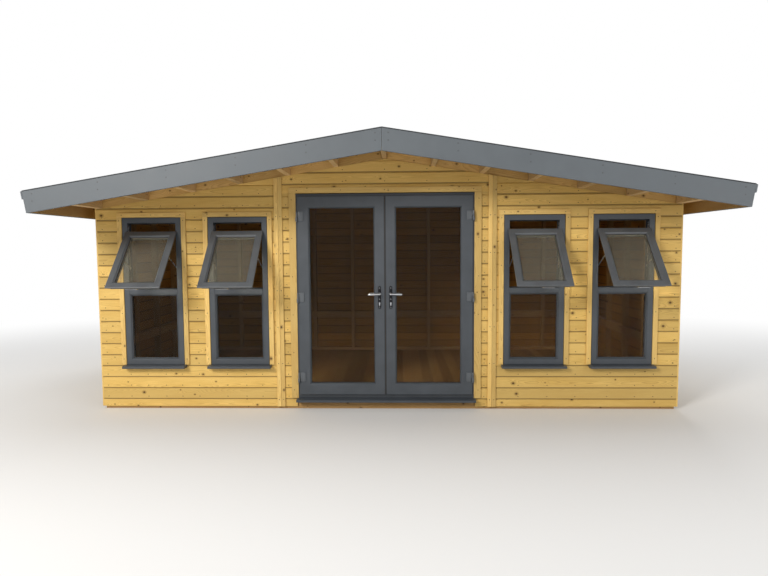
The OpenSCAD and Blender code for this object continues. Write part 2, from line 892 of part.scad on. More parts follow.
module roof_sheet() color("#33373b")
    along_y(roof_front, roof_back)
        gable_band(roof_half, board_top + seat, board_top + sheet_t);

module gable_fascias(y)
    both_hands()
        along_y(y, y + fascia_t)
            square_end_band(strip_gap / 2, roof_half, board_top - fascia_drop, board_top);

module front_fascias() color("#6d7278") gable_fascias(roof_front);

module back_fascias() color("#6d7278") gable_fascias(roof_back - fascia_t);

module eaves_fascias() color("#6d7278")
    both_hands()
        along_y(roof_front + fascia_t, roof_back - fascia_t)
            square_band(roof_half - fascia_t, roof_half, board_top - fascia_drop, board_top);

module eaves_drips() color("#565b60") {
    drip_top = board_top + sheet_t;
    drip_x = square_x(roof_half, drip_top) + seat;
    both_hands()
        along_y(roof_front, roof_back)
            translate([drip_x, under(drip_x) + drip_top]) rotate(-roof_pitch)
                polygon([
                    [0, 0], [drip_w, -drip_t / 2], [drip_w, -drip_h],
                    [drip_w - drip_t, -drip_h], [0, -drip_h + drip_t]
                ]);
}

floor_bearers();
floor_boards();
front_cladding_left();
front_cladding_right();
front_cladding_beside_door();
front_cladding_over_door();
back_cladding();
left_cladding();
right_cladding();
front_studs_left();
front_studs_right();
door_posts();
door_head_frame();
back_studs();
left_studs();
right_studs();
cover_strips();
window_trims();
door_trims();
window_frames();
window_panes();
window_sashes();
sash_panes();
window_stays();
sash_handles();
window_cills();
door_frame();
door_cill();
left_door();
left_door_glass();
left_door_fittings();
left_door_lever();
right_door();
right_door_glass();
right_door_fittings();
right_door_lever();
frame_hinges();
purlins();
purlin_blocks();
roof_boards();
roof_sheet();
front_fascias();
back_fascias();
eaves_fascias();
eaves_drips();
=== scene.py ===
import math
import random

import bpy
import numpy as np
from mathutils import Matrix, Vector


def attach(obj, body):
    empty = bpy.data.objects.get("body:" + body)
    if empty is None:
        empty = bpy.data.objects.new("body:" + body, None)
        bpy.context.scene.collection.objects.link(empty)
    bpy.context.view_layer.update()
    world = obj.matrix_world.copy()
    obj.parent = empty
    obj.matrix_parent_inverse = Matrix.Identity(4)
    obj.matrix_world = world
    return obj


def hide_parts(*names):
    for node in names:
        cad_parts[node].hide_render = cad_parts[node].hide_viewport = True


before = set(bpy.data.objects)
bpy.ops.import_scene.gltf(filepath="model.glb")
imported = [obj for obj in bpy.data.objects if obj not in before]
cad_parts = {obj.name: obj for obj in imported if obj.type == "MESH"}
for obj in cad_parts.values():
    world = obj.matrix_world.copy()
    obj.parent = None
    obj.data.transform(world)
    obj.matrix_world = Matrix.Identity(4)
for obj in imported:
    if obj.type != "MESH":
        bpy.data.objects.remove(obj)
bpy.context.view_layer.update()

# Places taken from the frame, in metres
CLAD_X, CLAD_T, CLAD_LOW = 2.920, 0.015, 0.027
FRAME_X, FRAME_FRONT, FRAME_BACK = 2.905, -1.135, 1.835
WALL_FRONT, WALL_BACK = -1.150, 1.850
FACE_Y, CHAMFER_Y, PLASTIC_IN = -1.160, -1.157, -1.090
FLOOR_LOW, FLOOR_TOP = 0.063, 0.085
EAVES_Z, SLOPE = 2.050, math.radians(9.2)
PITCH = math.tan(SLOPE)
ROOF_Y, ROOF_HALF = 1.950, 3.145
JOINT_X, OPENING_HALF = 1.070, 0.905
DOOR_LOW, DOOR_TOP = 0.115, 2.1846
WINDOW_XS, WINDOW_HALF = (1.485, 2.360), 0.300
WINDOW_LOW, WINDOW_TOP = 0.460, 1.960
FIT_GAP, STRIP_T, SEAT = 0.003, 0.015, 0.0003
PURLIN_D, BOARD_TOP = 0.120, 0.138
PURLIN_TOP = PURLIN_D - SEAT


def under(x):
    """Height of the purlins' lower face over a place across the building."""
    return EAVES_Z + (CLAD_X - abs(x)) * PITCH


# Bench tools

def only(piece):
    bpy.ops.object.select_all(action="DESELECT")
    piece.select_set(True)
    bpy.context.view_layer.objects.active = piece
    return piece


def settle(piece, place=(0, 0, 0), turn=(0, 0, 0), size=(1, 1, 1)):
    """Moves, turns and sizes a piece that stands at the origin, and keeps that in its mesh."""
    only(piece)
    piece.location = place
    piece.rotation_euler = turn
    piece.scale = size
    bpy.ops.object.transform_apply(location=True, rotation=True, scale=True)
    return piece


def start(shape, **settings):
    """A primitive to work from, its place kept in its mesh."""
    bpy.ops.object.select_all(action="DESELECT")
    shape(**settings)
    bpy.ops.object.transform_apply(location=True, rotation=True, scale=True)
    return bpy.context.active_object


def blank(low, high):
    """A rectangular blank between two corners, ready to be worked."""
    return start(bpy.ops.mesh.primitive_cube_add, size=1, location=[(a + b) / 2 for a, b in zip(low, high)],
                 scale=[b - a for a, b in zip(low, high)])


def work(piece, kind, test, tool, **settings):
    """Uses a tool on the faces or edges of a piece that pass the test, or on all of it."""
    only(piece)
    bpy.ops.object.mode_set(mode="EDIT")
    bpy.ops.mesh.select_mode(type=kind)
    bpy.ops.mesh.select_all(action="DESELECT" if test else "SELECT")
    if test:
        bpy.ops.object.mode_set(mode="OBJECT")
        mesh = piece.data
        if kind == "FACE":
            for face in mesh.polygons:
                face.select = bool(test(face.center, face.normal))
        else:
            for edge in mesh.edges:
                edge.select = bool(test(*(mesh.vertices[i].co for i in edge.vertices)))
        bpy.ops.object.mode_set(mode="EDIT")
    tool(**settings)
    bpy.ops.object.mode_set(mode="OBJECT")
    return piece


def same(a, b, axes):
    """Whether two ends of an edge agree along some axes."""
    return all(abs(getattr(a, axis) - getattr(b, axis)) < 1e-4 for axis in axes)


def bevel(piece, test, offset, segments, profile=0.5):
    return work(piece, "EDGE", test, bpy.ops.mesh.bevel, offset=offset, segments=segments, profile=profile)


def outward(piece):
    return work(piece, "FACE", None, bpy.ops.mesh.normals_make_consistent, inside=False)


def saw(piece, place, normal):
    """Cuts off what lies beyond a plane."""
    return work(piece, "FACE", None, bpy.ops.mesh.bisect, plane_co=place, plane_no=normal,
                use_fill=True, clear_outer=True)


def modify(piece, kind, **settings):
    only(piece)
    modifier = piece.modifiers.new(kind, kind)
    for key, value in settings.items():
        setattr(modifier, key, value)
    bpy.ops.object.modifier_apply(modifier=modifier.name)
    return piece


def ease(piece, width, segments, angle=30):
    return modify(piece, "BEVEL", width=width, segments=segments,
                  limit_method="ANGLE", angle_limit=math.radians(angle))


def row_of(piece, count, step):
    """Repeats the piece count times, each copy a step further."""
    return modify(piece, "ARRAY", count=count, use_relative_offset=False,
                  use_constant_offset=True, constant_offset_displace=step)


def scrap(*pieces):
    """Clears away patterns that have been used."""
    for piece in pieces:
        bpy.data.objects.remove(piece)


def machine(piece, cutter):
    """Takes the cutter's shape out of the piece."""
    modify(piece, "BOOLEAN", operation="DIFFERENCE", solver="EXACT", object=cutter)
    scrap(cutter)
    return piece


def rout(piece, low, high):
    """Takes a rectangular recess between two corners out of the piece."""
    return machine(piece, blank(low, high))


def smooth(piece):
    only(piece)
    bpy.ops.object.shade_smooth_by_angle(angle=math.radians(35))
    return piece


def joined(pieces, name="pattern"):
    bpy.ops.object.select_all(action="DESELECT")
    for piece in pieces:
        piece.select_set(True)
    bpy.context.view_layer.objects.active = piece = pieces[0]
    if len(pieces) > 1:
        bpy.ops.object.join()
    piece.name = piece.data.name = name
    return piece


def copy_to(piece, step=(0, 0, 0)):
    """A copy with its own mesh, moved by a step."""
    only(piece)
    bpy.ops.object.duplicate(linked=False)
    return settle(bpy.context.active_object, step)


def copies(patterns, steps):
    """Copies of some patterns at each step. The patterns are cleared away."""
    made = [copy_to(piece, step) for step in steps for piece in patterns]
    scrap(*patterns)
    return made


def flip(piece, size=(-1, 1, 1), place=(0, 0, 0)):
    """Mirrors a piece, over the building's middle unless a size and a place say otherwise."""
    return outward(settle(piece, place, size=size))


def both_sides(pieces):
    return pieces + [flip(copy_to(piece)) for piece in pieces]


def at_windows(patterns):
    """Copies of what is made for a window at x = 0, in each opening of both sides."""
    return both_sides(copies(patterns, [(x, 0, 0) for x in WINDOW_XS]))


def draw_out(steps, open_end=False):
    """Extrudes the selected face through steps, each its sizes, the middle that they keep and a move."""
    for size, middle, move in steps:
        bpy.ops.mesh.extrude_region_move()
        bpy.ops.transform.resize(value=size, center_override=middle)
        bpy.ops.transform.translate(value=move)
    if open_end:
        bpy.ops.mesh.delete(type="FACE")


def turned(profile, sides, place=(0, 0, 0), aim=(0, -1, 0)):
    """A piece turned on a lathe: its profile gives radius and height, and its axis runs along the aim."""
    piece = start(bpy.ops.mesh.primitive_circle_add, vertices=sides, radius=profile[0][0],
                  fill_type="NGON", location=(0, 0, profile[0][1]))
    steps = [((r / r0, r / r0, 1), (0, 0, h0), (0, 0, h - h0))
             for (r0, h0), (r, h) in zip(profile, profile[1:])]
    outward(work(piece, "FACE", None, draw_out, steps=steps))
    return settle(piece, place, Vector(aim).to_track_quat("Z", "Y").to_euler())


def swept(sections):
    """A grip drawn along X through oval sections, each x, middle y and z, and half its depth and height."""
    piece = start(bpy.ops.mesh.primitive_circle_add, vertices=16, radius=1, fill_type="NGON",
                  rotation=(0, math.pi / 2, 0))
    settle(piece, sections[0][:3], size=(1, *sections[0][3:]))
    steps = [((1, a / a0, b / b0), (x0, y0, z0), (x - x0, y - y0, z - z0))
             for (x0, y0, z0, a0, b0), (x, y, z, a, b) in zip(sections, sections[1:])]
    return outward(work(piece, "FACE", None, draw_out, steps=steps))


def close_section():
    """Joins the two open rims of a frame."""
    bpy.ops.mesh.select_all(action="DESELECT")
    bpy.ops.mesh.select_non_manifold(extend=False)
    bpy.ops.mesh.bridge_edge_loops()


def stepped_frame(*parts):
    """A mitred frame, closed at its back. Each part of its section is a box of left, right, low and high,
    and then places by their inset from that box and their Y."""
    loops = [((left + right) / 2, y, (low + high) / 2, right - left - 2 * inset, high - low - 2 * inset)
             for (left, right, low, high), *places in parts for inset, y in places]
    middle, size = loops[0][:3], (*loops[0][3:], 1)
    piece = settle(start(bpy.ops.mesh.primitive_plane_add, size=1), middle, (math.pi / 2, 0, 0), size)
    steps = [((w / w0, 1, t / t0), (x0, y0, z0), (x - x0, y - y0, z - z0))
             for (x0, y0, z0, w0, t0), (x, y, z, w, t) in zip(loops, loops[1:])]
    work(piece, "FACE", None, draw_out, steps=steps, open_end=True)
    work(piece, "FACE", lambda c, n: (c - Vector(middle)).length < 1e-4, bpy.ops.mesh.delete, type="FACE")
    return outward(work(piece, "EDGE", None, close_section))


# Grain

def ends_of(mesh):
    edges = np.empty(len(mesh.edges) * 2, int)
    mesh.edges.foreach_get("vertices", edges)
    return edges.reshape(-1, 2)


def boards_in(mesh):
    """For each vertex the number of the board that it belongs to."""
    board = np.arange(len(mesh.vertices))
    edges = ends_of(mesh)
    while True:
        low = np.minimum(board[edges[:, 0]], board[edges[:, 1]])
        new = board.copy()
        np.minimum.at(new, edges[:, 0], low)
        np.minimum.at(new, edges[:, 1], low)
        new = new[new]
        if (new == board).all():
            return board
        board = new


def mark_boards(piece):
    """Gives each board its own grain: its place along, across and through the board, and three lots."""
    mesh = piece.data
    count = len(mesh.vertices)
    co = np.empty(count * 3)
    mesh.vertices.foreach_get("co", co)
    co = co.reshape(-1, 3)
    edges = ends_of(mesh)
    board = boards_in(mesh)
    run = co[edges[:, 1]] - co[edges[:, 0]]
    length = np.linalg.norm(run, axis=1)
    longest = {board[edges[i, 0]]: run[i] / max(length[i], 1e-9) for i in np.argsort(length)}
    place = np.zeros((count, 3))
    lots = np.zeros((count, 3))
    for b in np.unique(board):
        mine = board == b
        points = co[mine]
        middle = (points.min(0) + points.max(0)) / 2
        along = longest[b]
        if along[np.argmax(np.abs(along))] < 0:
            along = -along
        side = np.cross(along, (0, 1, 0))
        if np.linalg.norm(side) < 0.1:
            side = np.cross(along, (1, 0, 0))
        side /= np.linalg.norm(side)
        through = np.cross(along, side)
        local = points - middle
        if np.ptp(local @ through) > np.ptp(local @ side):
            side, through = through, side
        place[mine] = np.stack([local @ along, local @ side, local @ through], 1)
        draw = random.Random(f"1 {np.round(middle, 3).tolist()}")
        lots[mine] = [draw.random() for _ in range(3)]
    for title, values in (("board_place", place), ("board_lots", lots)):
        layer = mesh.attributes.new(title, "FLOAT_VECTOR", "POINT")
        layer.data.foreach_set("vector", values.astype(np.float32).ravel())


# Finishes

class Nodes:
    """Adds nodes to a material or to the sky."""

    def __init__(self, tree):
        self.nodes = tree.nodes
        self.links = tree.links

    def put(self, socket, value):
        if isinstance(value, bpy.types.NodeSocket):
            self.links.new(value, socket)
        elif isinstance(value, (int, float)) or len(value) == len(socket.default_value):
            socket.default_value = value
        else:
            socket.default_value = (*value, 1.0)

    def node(self, kind, inputs=(), **settings):
        made = self.nodes.new("ShaderNode" + kind)
        for key, value in settings.items():
            setattr(made, key, value)
        for key, value in dict(inputs).items():
            self.put(made.inputs[key], value)
        return made

    def math(self, operation, *values):
        return self.node("Math", enumerate(values), operation=operation).outputs[0]

    def plus(self, a, b):
        return self.math("ADD", a, b)

    def times(self, a, b):
        return self.math("MULTIPLY", a, b)

    def over(self, a, b):
        return self.math("DIVIDE", a, b)

    def spread(self, value, low, high, new_low=0.0, new_high=1.0, smooth=False):
        return self.node("MapRange", {0: value, 1: low, 2: high, 3: new_low, 4: new_high},
                         interpolation_type="SMOOTHSTEP" if smooth else "LINEAR").outputs[0]

    def seen(self):
        """1 where a place is seen straight, in gloss or through glass, and 0 where it lights the object."""
        rays = self.node("LightPath").outputs
        return self.math("MAXIMUM", rays["Is Camera Ray"],
                         self.math("MAXIMUM", rays["Is Glossy Ray"], rays["Is Transmission Ray"]))


class Finish(Nodes):
    """Builds one material."""

    def __init__(self, name):
        self.material = bpy.data.materials.new(name)
        self.material.use_nodes = True
        super().__init__(self.material.node_tree)
        self.nodes.clear()
        self.output = self.nodes.new("ShaderNodeOutputMaterial")
        self.shader = self.nodes.new("ShaderNodeBsdfPrincipled")
        self.links.new(self.shader.outputs[0], self.output.inputs[0])
        self.place = self.node("TexCoord").outputs["Object"]

    def split(self, vector):
        return self.node("SeparateXYZ", {0: vector}).outputs

    def vector(self, *values):
        return self.node("CombineXYZ", enumerate(values)).outputs[0]

    def noise(self, vector, scale=1.0, detail=3.0, rough=0.5):
        return self.node("TexNoise", {"Vector": vector, "Scale": scale, "Detail": detail,
                                      "Roughness": rough}).outputs["Fac"]

    def blend(self, share, a, b, kind="MIX"):
        return self.node("Mix", {0: share, 6: a, 7: b}, data_type="RGBA", blend_type=kind).outputs[2]

    def stretched(self, x, y, z):
        return self.node("VectorMath", {0: self.place, 1: (x, y, z)}, operation="MULTIPLY").outputs[0]

    def bump(self, height, depth, strength=1.0):
        self.put(self.shader.inputs["Normal"],
                 self.node("Bump", {"Strength": strength, "Distance": depth, "Height": height}).outputs[0])

    def set(self, **sockets):
        for key, value in sockets.items():
            self.put(self.shader.inputs[key.replace("_", " ")], value)
        return self.material

    def pass_to(self, share, other):
        """Passes from the shader to another one by a share."""
        mixed = self.node("MixShader", {0: share, 1: self.shader.outputs[0], 2: other.outputs[0]})
        self.put(self.output.inputs[0], mixed.outputs[0])
        return self.material


def shade(colour, share):
    return [c * share for c in colour]


RING_GAP, KNOT_STRETCH = 0.0042, 0.30


def timber(name, pale, warm, ring, tone=0.22, knots=0.7, rough=0.6, stain=None, groove=None, inside=0.0):
    """Sawn softwood: rings, fibres and knots that follow each board, with painted shade: darker along the
    board edges, and duller and redder toward the room.
    """
    f = Finish(name)
    lots = f.split(f.node("Attribute", attribute_name="board_lots").outputs["Vector"])
    along, across, through = f.split(f.node("Attribute", attribute_name="board_place").outputs["Vector"])
    along = f.plus(along, f.times(lots[0], 61.0))
    # Knots, one to a stretch of each board
    cell = f.node("TexVoronoi", {"W": f.over(along, KNOT_STRETCH), "Scale": 1.0, "Randomness": 0.9},
                  voronoi_dimensions="1D")
    draw = f.split(cell.outputs["Color"])
    knot_along = f.math("SUBTRACT", along, f.times(cell.outputs["W"], KNOT_STRETCH))
    knot_across = f.math("SUBTRACT", across, f.spread(draw[0], 0, 1, -0.042, 0.042))
    knot_r = f.spread(f.math("POWER", draw[1], 1.6), 0, 1, 0.0030, 0.0105)
    flat = f.math("POWER", f.times(knot_along, 0.8), 2.0)
    reach = f.math("SQRT", f.plus(flat, f.math("POWER", f.math("ABSOLUTE", knot_across), 2.0)))
    shown = f.math("LESS_THAN", draw[2], knots)
    near = f.times(shown, f.math("EXPONENT", f.times(reach, -55.0)))
    core = f.times(shown, f.spread(f.over(reach, knot_r), 1.15, 0.75, 0, 1, True))
    halo = f.times(shown, f.spread(f.over(reach, knot_r), 2.8, 1.0, 0, 1, True))
    # Growth rings round a heart that wanders along the board
    wander = f.noise(f.vector(f.times(along, 0.9), f.times(across, 4.0), f.times(lots[1], 9.0)),
                     1.0, 2.0, 0.4)
    heart = f.plus(f.spread(lots[1], 0, 1, -0.05, 0.05), f.spread(wander, 0.3, 0.7, -0.02, 0.02))
    side = f.math("SUBTRACT", across, heart)
    depth = f.plus(f.plus(through, f.spread(lots[2], 0, 1, 0.02, 0.07)),
                   f.spread(wander, 0.2, 0.8, -0.03, 0.03))
    radius = f.math("SQRT", f.plus(f.times(side, side), f.times(depth, depth)))
    fibre = f.noise(f.vector(f.times(along, 7.0), f.times(across, 300.0), f.times(through, 300.0)), rough=0.6)
    radius = f.plus(f.plus(radius, f.times(near, 0.022)), f.spread(fibre, 0, 1, -0.0009, 0.0009))
    late = f.math("POWER", f.math("FRACT", f.over(radius, RING_GAP)), 3.0)
    # Colours: each board its own tone, with broad patches
    patch = f.noise(f.vector(f.times(along, 2.2), f.times(across, 9.0), lots[2]), rough=0.55)
    board_tone = f.spread(lots[0], 0, 1, 1 - tone, 1 + tone * 0.45)
    colour = f.blend(f.spread(patch, 0.3, 0.7, 0, 1), pale, warm)
    colour = f.blend(f.times(late, 0.55), colour, ring)
    colour = f.blend(f.spread(fibre, 0.35, 0.75, 0, 0.28), colour, ring)
    if stain:
        colour = f.blend(f.spread(lots[1], 0.45, 1.0, 0, 0.5), colour, stain)
    colour = f.blend(f.times(halo, 0.55), colour, shade(ring, 0.55))
    colour = f.blend(f.times(core, 0.9), colour, (0.085, 0.038, 0.014))
    # Painted shade: darker toward the board's edges, standing in for the shadow in the shiplap grooves.
    if groove:
        painted_groove_shade = f.spread(f.math("ABSOLUTE", across), groove, groove + 0.009, 0, 0.72, True)
        colour = f.blend(painted_groove_shade, colour, (0.060, 0.036, 0.016))
    # Painted shade: faces turned toward the room are darker and redder, standing in for the dim light inside.
    if inside:
        turned_out = f.node("VectorMath", {0: f.node("TexCoord").outputs["Normal"], 1: f.stretched(1, 1, 0)},
                            operation="DOT_PRODUCT").outputs["Value"]
        board_tone = f.times(board_tone, f.spread(turned_out, -0.5, -0.2, 1 - inside, 1))
        colour = f.blend(f.spread(turned_out, -0.5, -0.2, 1, 0), colour, (1.0, 0.76, 0.56), "MULTIPLY")
    toned = f.node("VectorMath", {0: colour, "Scale": board_tone}, operation="SCALE").outputs[0]
    f.bump(f.plus(f.times(fibre, 0.6), f.times(late, 0.5)), 0.0004, 0.5)
    return f.set(Base_Color=toned, Roughness=f.spread(fibre, 0, 1, rough - 0.1, rough + 0.14),
                 Specular_IOR_Level=0.22)


def plastic(name, colour, rough=0.42, fleck=0.12):
    """Coloured foil with a fine pressed grain."""
    f = Finish(name)
    cloud = f.noise(f.place, 6.0)
    tint = f.blend(f.spread(cloud, 0.3, 0.7, 0, 1), shade(colour, 1 - fleck), shade(colour, 1 + fleck))
    f.bump(f.noise(f.stretched(900, 900, 120), 1.0, 2.0, 0.6), 0.0002, 0.25)
    return f.set(Base_Color=tint, Roughness=f.spread(cloud, 0.3, 0.7, rough - 0.05, rough + 0.07),
                 Specular_IOR_Level=0.5)


def rubber(name, colour, rough=0.6):
    f = Finish(name)
    speck = f.noise(f.place, 700.0, 2.0)
    f.bump(speck, 0.0001, 0.3)
    return f.set(Base_Color=f.blend(speck, shade(colour, 0.8), shade(colour, 1.4)),
                 Roughness=f.spread(speck, 0, 1, rough - 0.08, rough + 0.08))


def weathered_membrane(name, colour, rough=0.72):
    """Rubber roof covering with a bloom of dust that the rain has drawn down the slope."""
    f = Finish(name)
    speck = f.noise(f.place, 520.0, 2.0, 0.6)
    bloom = f.noise(f.stretched(0.7, 1.6, 0.7), 1.0, 4.0, 0.6)
    runs = f.noise(f.stretched(1.1, 14.0, 1.1), rough=0.6)
    dust = f.plus(f.spread(bloom, 0.40, 0.70, 0, 0.55, True), f.spread(runs, 0.45, 0.75, 0, 0.30, True))
    tint = f.blend(dust, colour, shade(colour, 1.75))
    tint = f.blend(f.spread(speck, 0.3, 0.7, 0, 0.35), tint, shade(colour, 0.75))
    f.bump(speck, 0.0003, 0.3)
    return f.set(Base_Color=tint, Roughness=f.spread(dust, 0, 0.8, rough - 0.08, rough + 0.12),
                 Specular_IOR_Level=0.35)


def clear_glass(name, tint, clear=1.0):
    """Float glass that lets the lamps through, clear or with a film of dust."""
    f = Finish(name)
    f.set(Base_Color=tint, Roughness=0.0, IOR=1.12, Transmission_Weight=clear)
    f.bump(f.noise(f.place, 3.0, 3.0, 0.6), 0.0003, 0.02)
    shine_through = f.node("BsdfTransparent", {0: (0.87, 0.86, 0.84)})
    return f.pass_to(f.node("LightPath").outputs["Is Shadow Ray"], shine_through)


def polished_metal(name, colour, rough=0.16, brushed=0.0):
    f = Finish(name)
    smear = f.noise(f.place, 45.0, 3.0, 0.6)
    if brushed:
        f.bump(f.noise(f.stretched(60, 1500, 60), 1.0, 2.0, 0.7), 0.00006, brushed)
    return f.set(Metallic=1.0, Base_Color=f.blend(smear, shade(colour, 0.9), colour),
                 Roughness=f.spread(smear, 0.3, 0.75, rough - 0.05, rough + 0.08))


# Each finish with the slot of the record that it belongs to
# The cladding's groove and inside settings paint shade: darker board edges, and darker, redder faces toward
# the room.
CLADDING = timber("treated_pine_cladding", (0.79, 0.545, 0.170), (0.69, 0.450, 0.122), (0.38, 0.210, 0.054),
                  tone=0.17, knots=0.55, stain=(0.60, 0.420, 0.145), groove=0.0495,
                  inside=0.42), "pine_cladding"
STRIPS = timber("planed_pine_strips", (0.79, 0.560, 0.198), (0.71, 0.470, 0.148), (0.42, 0.242, 0.070),
                knots=0.35), "trim_timber"
# Painted shade: the framing and floor finishes are darkened so that the room reads dim; the floor bearers
# take the framing finish too.
FRAMING = timber("sawn_framing_timber", (0.47, 0.292, 0.118), (0.40, 0.237, 0.084), (0.245, 0.126, 0.042),
                 rough=0.7), "framing_timber"
FLOORING = timber("planed_floor_boards", (0.51, 0.322, 0.130), (0.45, 0.260, 0.097),
                  (0.275, 0.144, 0.049)), "floor_timber"
# Painted shade: the roof boards are darkened to stand in for the shade under the canopy; the fascia backings
# take this finish too.
ROOF_BOARDS = timber("sawn_roof_boards", (0.50, 0.335, 0.145), (0.43, 0.265, 0.100), (0.25, 0.135, 0.046),
                     rough=0.7), "roof_timber"
PURLINS = timber("sawn_purlins", (0.69, 0.490, 0.250), (0.61, 0.410, 0.185), (0.38, 0.230, 0.090),
                 rough=0.7), "roof_timber"
BLOCKS = timber("sawn_blocks", (0.68, 0.450, 0.170), (0.59, 0.370, 0.120), (0.35, 0.190, 0.060),
                rough=0.7), "roof_timber"
FOIL = plastic("anthracite_foil", (0.046, 0.054, 0.064)), "grey_upvc"
# Painted shade: the door frame takes a darker copy of the foil, standing in for the shadow of the leaves over
# its face.
SHADED_DOOR_FOIL = plastic("anthracite_foil_door_frame_painted_shade", (0.030, 0.035, 0.042)), "grey_upvc"
# Painted light: the sashes take a lighter copy of the foil, standing in for the light on their upturned
# faces.
LIT_SASH_FOIL = plastic("anthracite_foil_sash_painted_light", (0.086, 0.095, 0.104), 0.38), "grey_upvc"
SEALS = rubber("black_seal", (0.012, 0.012, 0.013)), "grey_upvc"
GLASS = clear_glass("clear_float_glass", (0.785, 0.775, 0.755)), "glazing"
# Partly painted light: a film of dust, given only to the sash panes, whose pale haze stands in for the light
# falling on their upturned faces.
DUST_AND_PAINTED_LIGHT_GLASS = clear_glass("dusty_sash_glass_painted_light", (0.800, 0.775, 0.680), 0.972), "glazing"
SPACERS = polished_metal("mill_spacer_bar", (0.66, 0.67, 0.68), 0.34), "glazing"
CHROME = polished_metal("chromed_furniture", (0.56, 0.57, 0.59), 0.12), "chrome_furniture"
# Painted reflection: the handle plates are dark metal, standing in for the dark surroundings that chrome
# plates reflect.
PLATES = polished_metal("plates_painted_dark_reflection", (0.024, 0.024, 0.026), 0.26), "chrome_furniture"
STEEL = polished_metal("brushed_stay_steel", (0.72, 0.73, 0.75), 0.28, 0.5), "stay_steel"
NAILS = polished_metal("weathered_nails", (0.075, 0.062, 0.050), 0.55), "stay_steel"
SCREWS = polished_metal("dull_screws", (0.10, 0.10, 0.10), 0.45), "stay_steel"
HINGES = plastic("coated_hinges", (0.082, 0.092, 0.103), 0.30, 0.05), "grey_hinge"
PAINT = plastic("painted_fascia", (0.094, 0.108, 0.120), 0.52, 0.06), "grey_fascia"
DRIPS = plastic("drip_trim_plastic", (0.100, 0.113, 0.128), 0.42, 0.06), "drip_trim"
COVERING = weathered_membrane("roof_membrane_rubber", (0.032, 0.034, 0.037)), "roof_membrane"


def place_all(name, pieces, node, finish, body="pod", edge=0.0, segments=1, grain=False):
    """Joins the parts of one piece and eases their edges, gives it its finish, and puts it on its body, in
    the place of a node."""
    piece = joined(pieces, name)
    if edge:
        ease(piece, edge, segments)
    if grain:
        mark_boards(piece)
    piece.data.materials.clear()
    piece.data.materials.append(finish[0])
    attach(piece, body)
    if node:
        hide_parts(node)
    return piece


def fit(name, pieces, node, finish, edge=0.0015, segments=1):
    """Fits the boards of one piece, each with its own grain."""
    return place_all(name, pieces, node, finish, "pod", edge, segments, True)


def fit_hands(name, piece, node, finish, edge=0.0015):
    """Fits a piece of the right-hand side and its mirror image, with the side's name in both their names."""
    twin = flip(copy_to(piece))
    for hand, made in (("left", twin), ("right", piece)):
        fit(name % hand, [made], node % hand, finish, edge)


def roof_cut(piece, low=None, high=None, sides=(1,)):
    """Saws a piece to the slope of the roof on some sides, low and high over the purlins' foot."""
    for side in sides:
        for up, way in ((high, 1), (low, -1)):
            if up is not None:
                saw(piece, (side * CLAD_X, 0, EAVES_Z + up), way * Vector((side * PITCH, 0, 1)).normalized())
    return piece


# Shiplap walls

ROW = 0.1145
ROW_START = 0.1015 - ROW


def shiplap_board(length):
    """One board lying along X with its back at y = 0, its face at y = -15 mm and its lower edge at z = 0."""
    width, tongue, lip = 0.1240, 0.0070, ROW - 0.0015
    board = blank((0, -CLAD_T, 0), (length, 0, width))
    rout(board, (-0.01, -0.1, lip), (length + 0.01, -tongue, 0.2))
    rout(board, (-0.01, -tongue - 0.0005, -0.1), (length + 0.01, 0.1, 0.0105))
    for level, sizes in ((lip, (0.0079, 4, 0.22)), (0, (0.0012, 1))):
        edge = Vector((0, -CLAD_T, level))
        bevel(board, lambda a, b: same(a, edge, "yz") and same(b, edge, "yz"), *sizes)
    return board


def shiplap_wall(x0, x1, high, low=CLAD_LOW):
    """Boards from x0 to x1 and low to high, drawn as a front wall with its back at y = 0."""
    first = int((low - ROW_START) / ROW)
    count = math.ceil((high - ROW_START) / ROW) - first
    wall = settle(shiplap_board(x1 - x0), (x0, 0, ROW_START + first * ROW))
    row_of(wall, count, (0, 0, ROW))
    saw(wall, (0, 0, low), (0, 0, -1))
    return saw(wall, (0, 0, high), (0, 0, 1))


# Front, with its window openings, the boards beside and over the door, the back and the sides
TALL = 2.56
HEAD_LOW = DOOR_TOP + 0.005
panel = roof_cut(settle(shiplap_wall(JOINT_X, CLAD_X, 2.36), (0, FRAME_FRONT, 0)), high=0)
for x in WINDOW_XS:
    rout(panel, (x - WINDOW_HALF - FIT_GAP, -1.3, WINDOW_LOW - 0.030),
         (x + WINDOW_HALF + FIT_GAP, -1.0, WINDOW_TOP + FIT_GAP))
fit_hands("front_boards_%s", panel, "front_cladding_%s", CLADDING, 0)
side = settle(shiplap_wall(OPENING_HALF, JOINT_X, HEAD_LOW), (0, FRAME_FRONT, 0))
fit("boards_beside_door", both_sides([side]), "front_cladding_beside_door", CLADDING, 0)
over = settle(shiplap_wall(-JOINT_X, JOINT_X, TALL, HEAD_LOW), (0, FRAME_FRONT, 0))
fit("boards_over_door", [roof_cut(over, high=0, sides=(1, -1))], "front_cladding_over_door", CLADDING, 0)
back = roof_cut(shiplap_wall(-CLAD_X, CLAD_X, TALL), high=0, sides=(1, -1))
fit("back_boards", [settle(back, (0, FRAME_BACK, 0), (0, 0, math.pi))], "back_cladding", CLADDING, 0)
end = settle(shiplap_wall(FRAME_FRONT, FRAME_BACK, 2.20), (FRAME_X, 0, 0), (0, 0, math.pi / 2))
fit_hands("%s_boards", roof_cut(end, high=PURLIN_TOP), "%s_cladding", CLADDING, 0)

# Nails of the boards, over the framing behind them
NAIL_LOW, NAIL_UP = 0.05, 0.028
nail = turned([(0.0043, -0.002), (0.0045, 0.0003), (0.0028, 0.0012)], 8)


